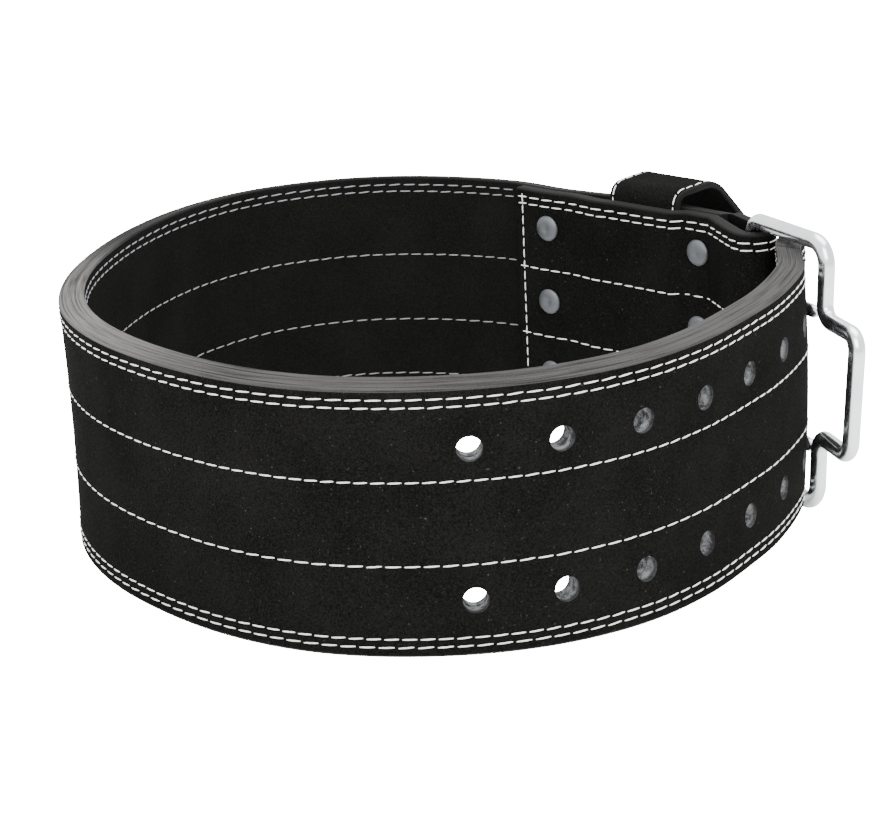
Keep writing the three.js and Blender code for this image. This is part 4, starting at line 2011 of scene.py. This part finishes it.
@dataclass
class Keeper:
    """The stitched leather loop behind the buckle, in millimetres.

    Attributes:
        finishes: The belt's finishes.
        sewing: What sews its rows.
        width: Its width along the strap.
        depth: How far it stands out of the strap.
        rise: How far its top rises over the strap.
        share: Its place between the near and the far rivets.
        skew: How far its outer run leans along the strap.
        inner_rise: How far the upper end of its inner run rises over the strap.
        top_round: Radius of that end's corner.
        inner_round: Radius of its lower corner inside.
        corner: Rounding of its cut edges.
        levels: Points across its width.
        step: Spacing of the sections round it.
        arc_step: Turn between two points of a corner, in degrees.
        row_inset: From each row of stitches to the edge.
        row_pitch: Pitch of the rows.
        corners: The corners outside the strap, from the top down.
    """

    finishes: Finishes
    sewing: Sewing
    width: float = 38.0
    depth: float = 29.0
    rise: float = 6.0
    share: float = 0.39
    skew: float = 5.0
    inner_rise: float = 5.2
    top_round: float = 5.5
    inner_round: float = 1.8
    corner: float = 0.8
    levels: int = 7
    step: float = 2.0
    arc_step: float = 5.0
    row_inset: float = 2.2
    row_pitch: float = 5.4
    corners: tuple[KeeperCorner, ...] = (
        KeeperCorner(0.36, 1.0, 1.15, 0.42, 0.4),
        KeeperCorner(1.0, 0.86, 0.0, 0.5, 1.0),
        KeeperCorner(0.96, 0.34, 0.0, 1.2, 0.7),
        KeeperCorner(0.34, 0.0, 0.0, 0.5, 0.0),
    )

    def line(self) -> Array:
        """The keeper's middle line.

        Returns:
            Rows of out, height and skew.
        """
        least_step = 0.05
        inside = -PLAN.body_half - PLAN.keeper_slack - PLAN.keeper_thickness / 2
        under = -PLAN.metal_gap - PLAN.keeper_thickness / 2
        corners = [
            (np.array([inside, under, 0.0]), self.inner_round),
            (np.array([inside, PLAN.width + self.inner_rise, 0.0]), self.top_round),
        ]
        for c in self.corners:
            height = under + (PLAN.width - under) * c.up + c.rise * self.rise
            place = np.array([PLAN.body_half + c.out * self.depth, height, c.skew * self.skew])
            corners.append((place, c.round * self.depth))
        points = rounded_corners(corners, self.arc_step)
        points = points[np.linalg.norm(points - np.roll(points, 1, axis=0), axis=1) > least_step]
        return evenly(np.vstack([points, points[:1]]), self.step)[:-1]

    def band(self, offset: float, along: float) -> tuple[Array, Array]:
        """A line on the keeper's band.

        Args:
            offset: Out of the band's middle, as a share of half its thickness.
            along: Across its width, as a share of half its width.

        Returns:
            The line's points and its outward directions.
        """
        line = self.line()
        flat = line[:, :2]
        slope = unit(np.roll(flat, -1, axis=0) - np.roll(flat, 1, axis=0))
        normal = np.stack([slope[:, 1], -slope[:, 0]], axis=1)
        place = PLAN.at(PLAN.near_rivets + self.share * PLAN.rivet_column_spacing)
        out, ahead = place.out[0], place.ahead[0]
        moved = flat + normal * offset * PLAN.keeper_thickness / 2
        run = along * self.width / 2 - line[:, 2]
        xy = place.point[0] + out * moved[:, :1] + ahead * run[:, None]
        facing = np.column_stack([out * normal[:, :1], normal[:, 1]])
        return np.column_stack([xy, moved[:, 1]]), facing

    def build(self) -> None:
        """Builds and hands over the keeper and its stitches."""
        section = Section(PLAN.keeper_thickness, self.width, self.corner, self.corner, self.levels)
        columns = []
        for wide, high in zip(section.wide, section.high):
            columns.append(self.band(2 * wide - 1, 2 * high - 1)[0])
        rings = np.stack(columns, axis=1)
        along = np.arange(len(rings)) * self.step
        skin = Skin(rings, along, section.around, section.slots, closed=True)
        keeper = skin.build("keeper_band", [self.finishes.suede, self.finishes.edge])
        ride(keeper, "suede", "keeper_loop")
        rows = []
        sign = 1.0 if self.outward(self.line()) else -1.0
        for edge in (-1.0, 1.0):
            share = edge * (1 - 2 * self.row_inset / self.width)
            points, facing = self.band(sign, share)
            points = np.vstack([points, points[:1]])
            facing = np.vstack([facing, facing[:1]]) * sign
            rows.append(self.sewing.row(points, facing, self.row_pitch, self.sewing.slant))
        ride(merged("keeper_stitches", rows, self.finishes.thread), "suede")

    @staticmethod
    def outward(line: Array) -> bool:
        """Whether the right-hand side of a closed flat line is its outside."""
        x, y = line[:, 0], line[:, 1]
        return float(np.sum(x * np.roll(y, -1) - np.roll(x, -1) * y)) > 0


@dataclass
class Rivets:
    """Six rivets through the strap and the patch, in millimetres.

    Attributes:
        finishes: The belt's finishes.
        head_radius: Radius of a head.
        head_height: Its height.
        head_sides: Sides of its circle.
        dimple: Height of the head's middle, as a share of its height.
        profile: The head's outline from its middle to its rim, as shares of radius and height.
        foot: Share of the radius, and depth, at which the head ends in the leather.
        seed: Seed of the heads' turns.
    """

    finishes: Finishes
    head_radius: float = 5.8
    head_height: float = 1.9
    head_sides: int = 24
    dimple: float = 0.7
    profile: tuple[tuple[float, float], ...] = (
        (0.16, 0.74), (0.3, 0.95), (0.42, 1.0), (0.6, 0.94),
        (0.8, 0.74), (0.93, 0.45), (1.0, 0.16), (0.985, 0.0),
    )
    foot: tuple[float, float] = (0.6, 0.4)
    seed: int = 5

    def head(self) -> Piece:
        """A low head with a soft rim and a shallow dimple, drawn about the Z axis.

        Returns:
            The head, in metres.
        """
        outline = [(self.head_radius * wide, self.head_height * high) for wide, high in self.profile]
        outline.append((self.head_radius * self.foot[0], -self.foot[1]))
        bm = bmesh.new()
        rings = []
        for wide, high in outline:
            rings.append([
                bm.verts.new((wide * math.cos(t) * MM, wide * math.sin(t) * MM, high * MM))
                for t in np.linspace(0, math.tau, self.head_sides, endpoint=False)
            ])
        crown = bm.verts.new((0.0, 0.0, self.head_height * self.dimple * MM))
        for i in range(self.head_sides):
            k = (i + 1) % self.head_sides
            bm.faces.new((crown, rings[0][i], rings[0][k]))
            for upper, lower in zip(rings, rings[1:]):
                bm.faces.new((upper[i], lower[i], lower[k], upper[k]))
        bm.faces.new(list(reversed(rings[-1])))
        bmesh.ops.recalc_face_normals(bm, faces=bm.faces)
        mesh = bpy.data.meshes.new("rivet_head")
        bm.to_mesh(mesh)
        bm.free()
        return link("rivet_head", mesh)

    def build(self) -> None:
        """Sets both heads of all six rivets and hands them over."""
        patch = PLAN.body_half + 2 * PLAN.metal_gap + PLAN.ply
        heights = (PLAN.width - PLAN.rivet_row_inset, PLAN.half, PLAN.rivet_row_inset)
        points, facing, ahead = [], [], []
        for distance in (PLAN.near_rivets, PLAN.far_rivets):
            place = PLAN.at(distance)
            for height in heights:
                for reach, way in ((PLAN.body_half, 1.0), (-patch, -1.0)):
                    points.append([*(place.point[0] + place.out[0] * reach), height])
                    facing.append([*(place.out[0] * way), 0.0])
                    ahead.append([*place.ahead[0], 0.0])
        obj = point_mesh("rivets", np.array(points), False, facing=np.array(facing), ahead=np.array(ahead))
        head = self.head()
        apply_tree(obj, fastener_tree(), {"Head": head, "Seed": self.seed, "Material": self.finishes.zinc})
        drop(head)
        columns, rows = ("near", "far"), ("upper", "middle", "lower")
        nodes = [f"rivet_{column}_{row}" for column in columns for row in rows]
        ride(obj, "zinc", *nodes)


@dataclass(frozen=True)
class Lamp:
    """A square soft lamp that looks at the belt.

    Attributes:
        name: Its name.
        place: Where it hangs, in metres.
        size: Its side in metres.
        power: Its power in watts.
    """

    name: str
    place: tuple[float, float, float]
    size: float
    power: float

    def hang(self, aim: tuple[float, float, float]) -> None:
        """Hangs the lamp.

        Args:
            aim: What it looks at, in metres.
        """
        data = bpy.data.lights.new(self.name, "AREA")
        data.shape = "SQUARE"
        data.size = self.size
        data.energy = self.power
        lamp = bpy.data.objects.new(self.name, data)
        bpy.context.scene.collection.objects.link(lamp)
        lamp.location = self.place
        way = Vector(aim) - Vector(self.place)
        lamp.rotation_euler = way.to_track_quat("-Z", "Y").to_euler()


@dataclass
class Studio:
    """The floor, the light and the camera.

    Attributes:
        lens: The camera's lens.
        sensor: The camera's sensor width, in millimetres as the lens.
        eye: The camera's place in the drawing.
        pitch_degrees: How far it looks down.
        roll_degrees: Its roll.
        framing_degrees: A further look down, which centres the picture.
        nearest: The least distance that it sees, in metres.
        floor_half: Half the floor's side, in metres.
        sky_light: Strength of the light from all round.
        backdrop: How bright the plain backdrop looks.
        lamps: The lamps.
        aim: What the lamps look at, in metres.
    """

    lens: float = 99.59
    sensor: float = 36.0
    eye: tuple[float, float, float] = (1.99, -960.9, 358.0)
    pitch_degrees: float = 17.56
    roll_degrees: float = -2.69
    framing_degrees: float = 0.868
    nearest: float = 0.01
    floor_half: float = 6.0
    sky_light: float = 2.0
    backdrop: float = 24.0
    lamps: tuple[Lamp, ...] = (
        Lamp("key", (-0.1, -1.7, 1.5), 1.4, 45.0),
        Lamp("top", (0.3, 0.4, 1.9), 1.6, 45.0),
    )
    aim: tuple[float, float, float] = (0.0, 0.0, 0.05)

    def camera(self) -> None:
        """Sets the camera where the photograph was taken."""
        pitch, roll = math.radians(self.pitch_degrees), math.radians(self.roll_degrees)
        right0 = np.array([1.0, 0.0, 0.0])
        up0 = np.array([0.0, math.sin(pitch), math.cos(pitch)])
        ahead = np.array([0.0, math.cos(pitch), -math.sin(pitch)])
        right = right0 * math.cos(roll) + up0 * math.sin(roll)
        up = up0 * math.cos(roll) - right0 * math.sin(roll)
        axes = np.array(PLACE.directions(np.array([right, up, -ahead]))).T
        turn = Matrix(axes.tolist()) @ Matrix.Rotation(-math.radians(self.framing_degrees), 3, "X")
        data = bpy.data.cameras.new("camera")
        data.lens = self.lens
        data.sensor_width = self.sensor
        data.clip_start = self.nearest
        camera = bpy.data.objects.new("camera", data)
        bpy.context.scene.collection.objects.link(camera)
        place = PLACE.points(np.array([self.eye]))[0]
        camera.matrix_world = Matrix.Translation(Vector(place)) @ turn.to_4x4()
        bpy.context.scene.camera = camera

    def floor(self) -> None:
        """Lays the pale floor."""
        bm = bmesh.new()
        bmesh.ops.create_grid(bm, x_segments=1, y_segments=1, size=self.floor_half)
        mesh = bpy.data.meshes.new("floor")
        bm.to_mesh(mesh)
        bm.free()
        floor = link("floor", mesh)
        s = Shader("pale_floor")
        colour = s.ramp(s.grain(s.place(), 3.0), (0.3, tinted(0.9)), (0.7, tinted(0.92)))
        material = s.finish(colour, None, Roughness=0.9, Specular_IOR_Level=0.1)
        seen = s.node("ShaderNodeLightPath").outputs["Is Camera Ray"]
        s.wire(s.math("MULTIPLY", seen, self.backdrop), s.surface.inputs["Emission Strength"])
        s.surface.inputs["Emission Color"].default_value = (1.0, 1.0, 1.0, 1.0)
        mesh.materials.append(material)

    def build(self) -> None:
        """Builds the studio."""
        world = bpy.data.worlds.new("studio")
        world.use_nodes = True
        sky = world.node_tree.nodes["Background"]
        sky.inputs["Color"].default_value = (1.0, 1.0, 1.0, 1.0)
        tree = world.node_tree
        seen = tree.nodes.new("ShaderNodeLightPath").outputs["Is Camera Ray"]
        strength = tree.nodes.new("ShaderNodeMapRange")
        strength.inputs["To Min"].default_value = self.sky_light
        strength.inputs["To Max"].default_value = self.backdrop
        tree.links.new(seen, strength.inputs["Value"])
        tree.links.new(strength.outputs[0], sky.inputs["Strength"])
        bpy.context.scene.world = world
        for lamp in self.lamps:
            lamp.hang(self.aim)
        self.floor()
        self.camera()


def main() -> None:
    """Builds the belt piece by piece and then the studio."""
    logging.basicConfig(level=logging.INFO, format="%(name)s: %(message)s")
    finishes = Finishes.make()
    buckle = Buckle(finishes)
    Strap(finishes).build(buckle)
    buckle.build()
    Rivets(finishes).build()
    sewing = Sewing(finishes)
    sewing.build()
    Keeper(finishes, sewing).build()
    Studio().build()


if __name__ == "__main__":
    main()
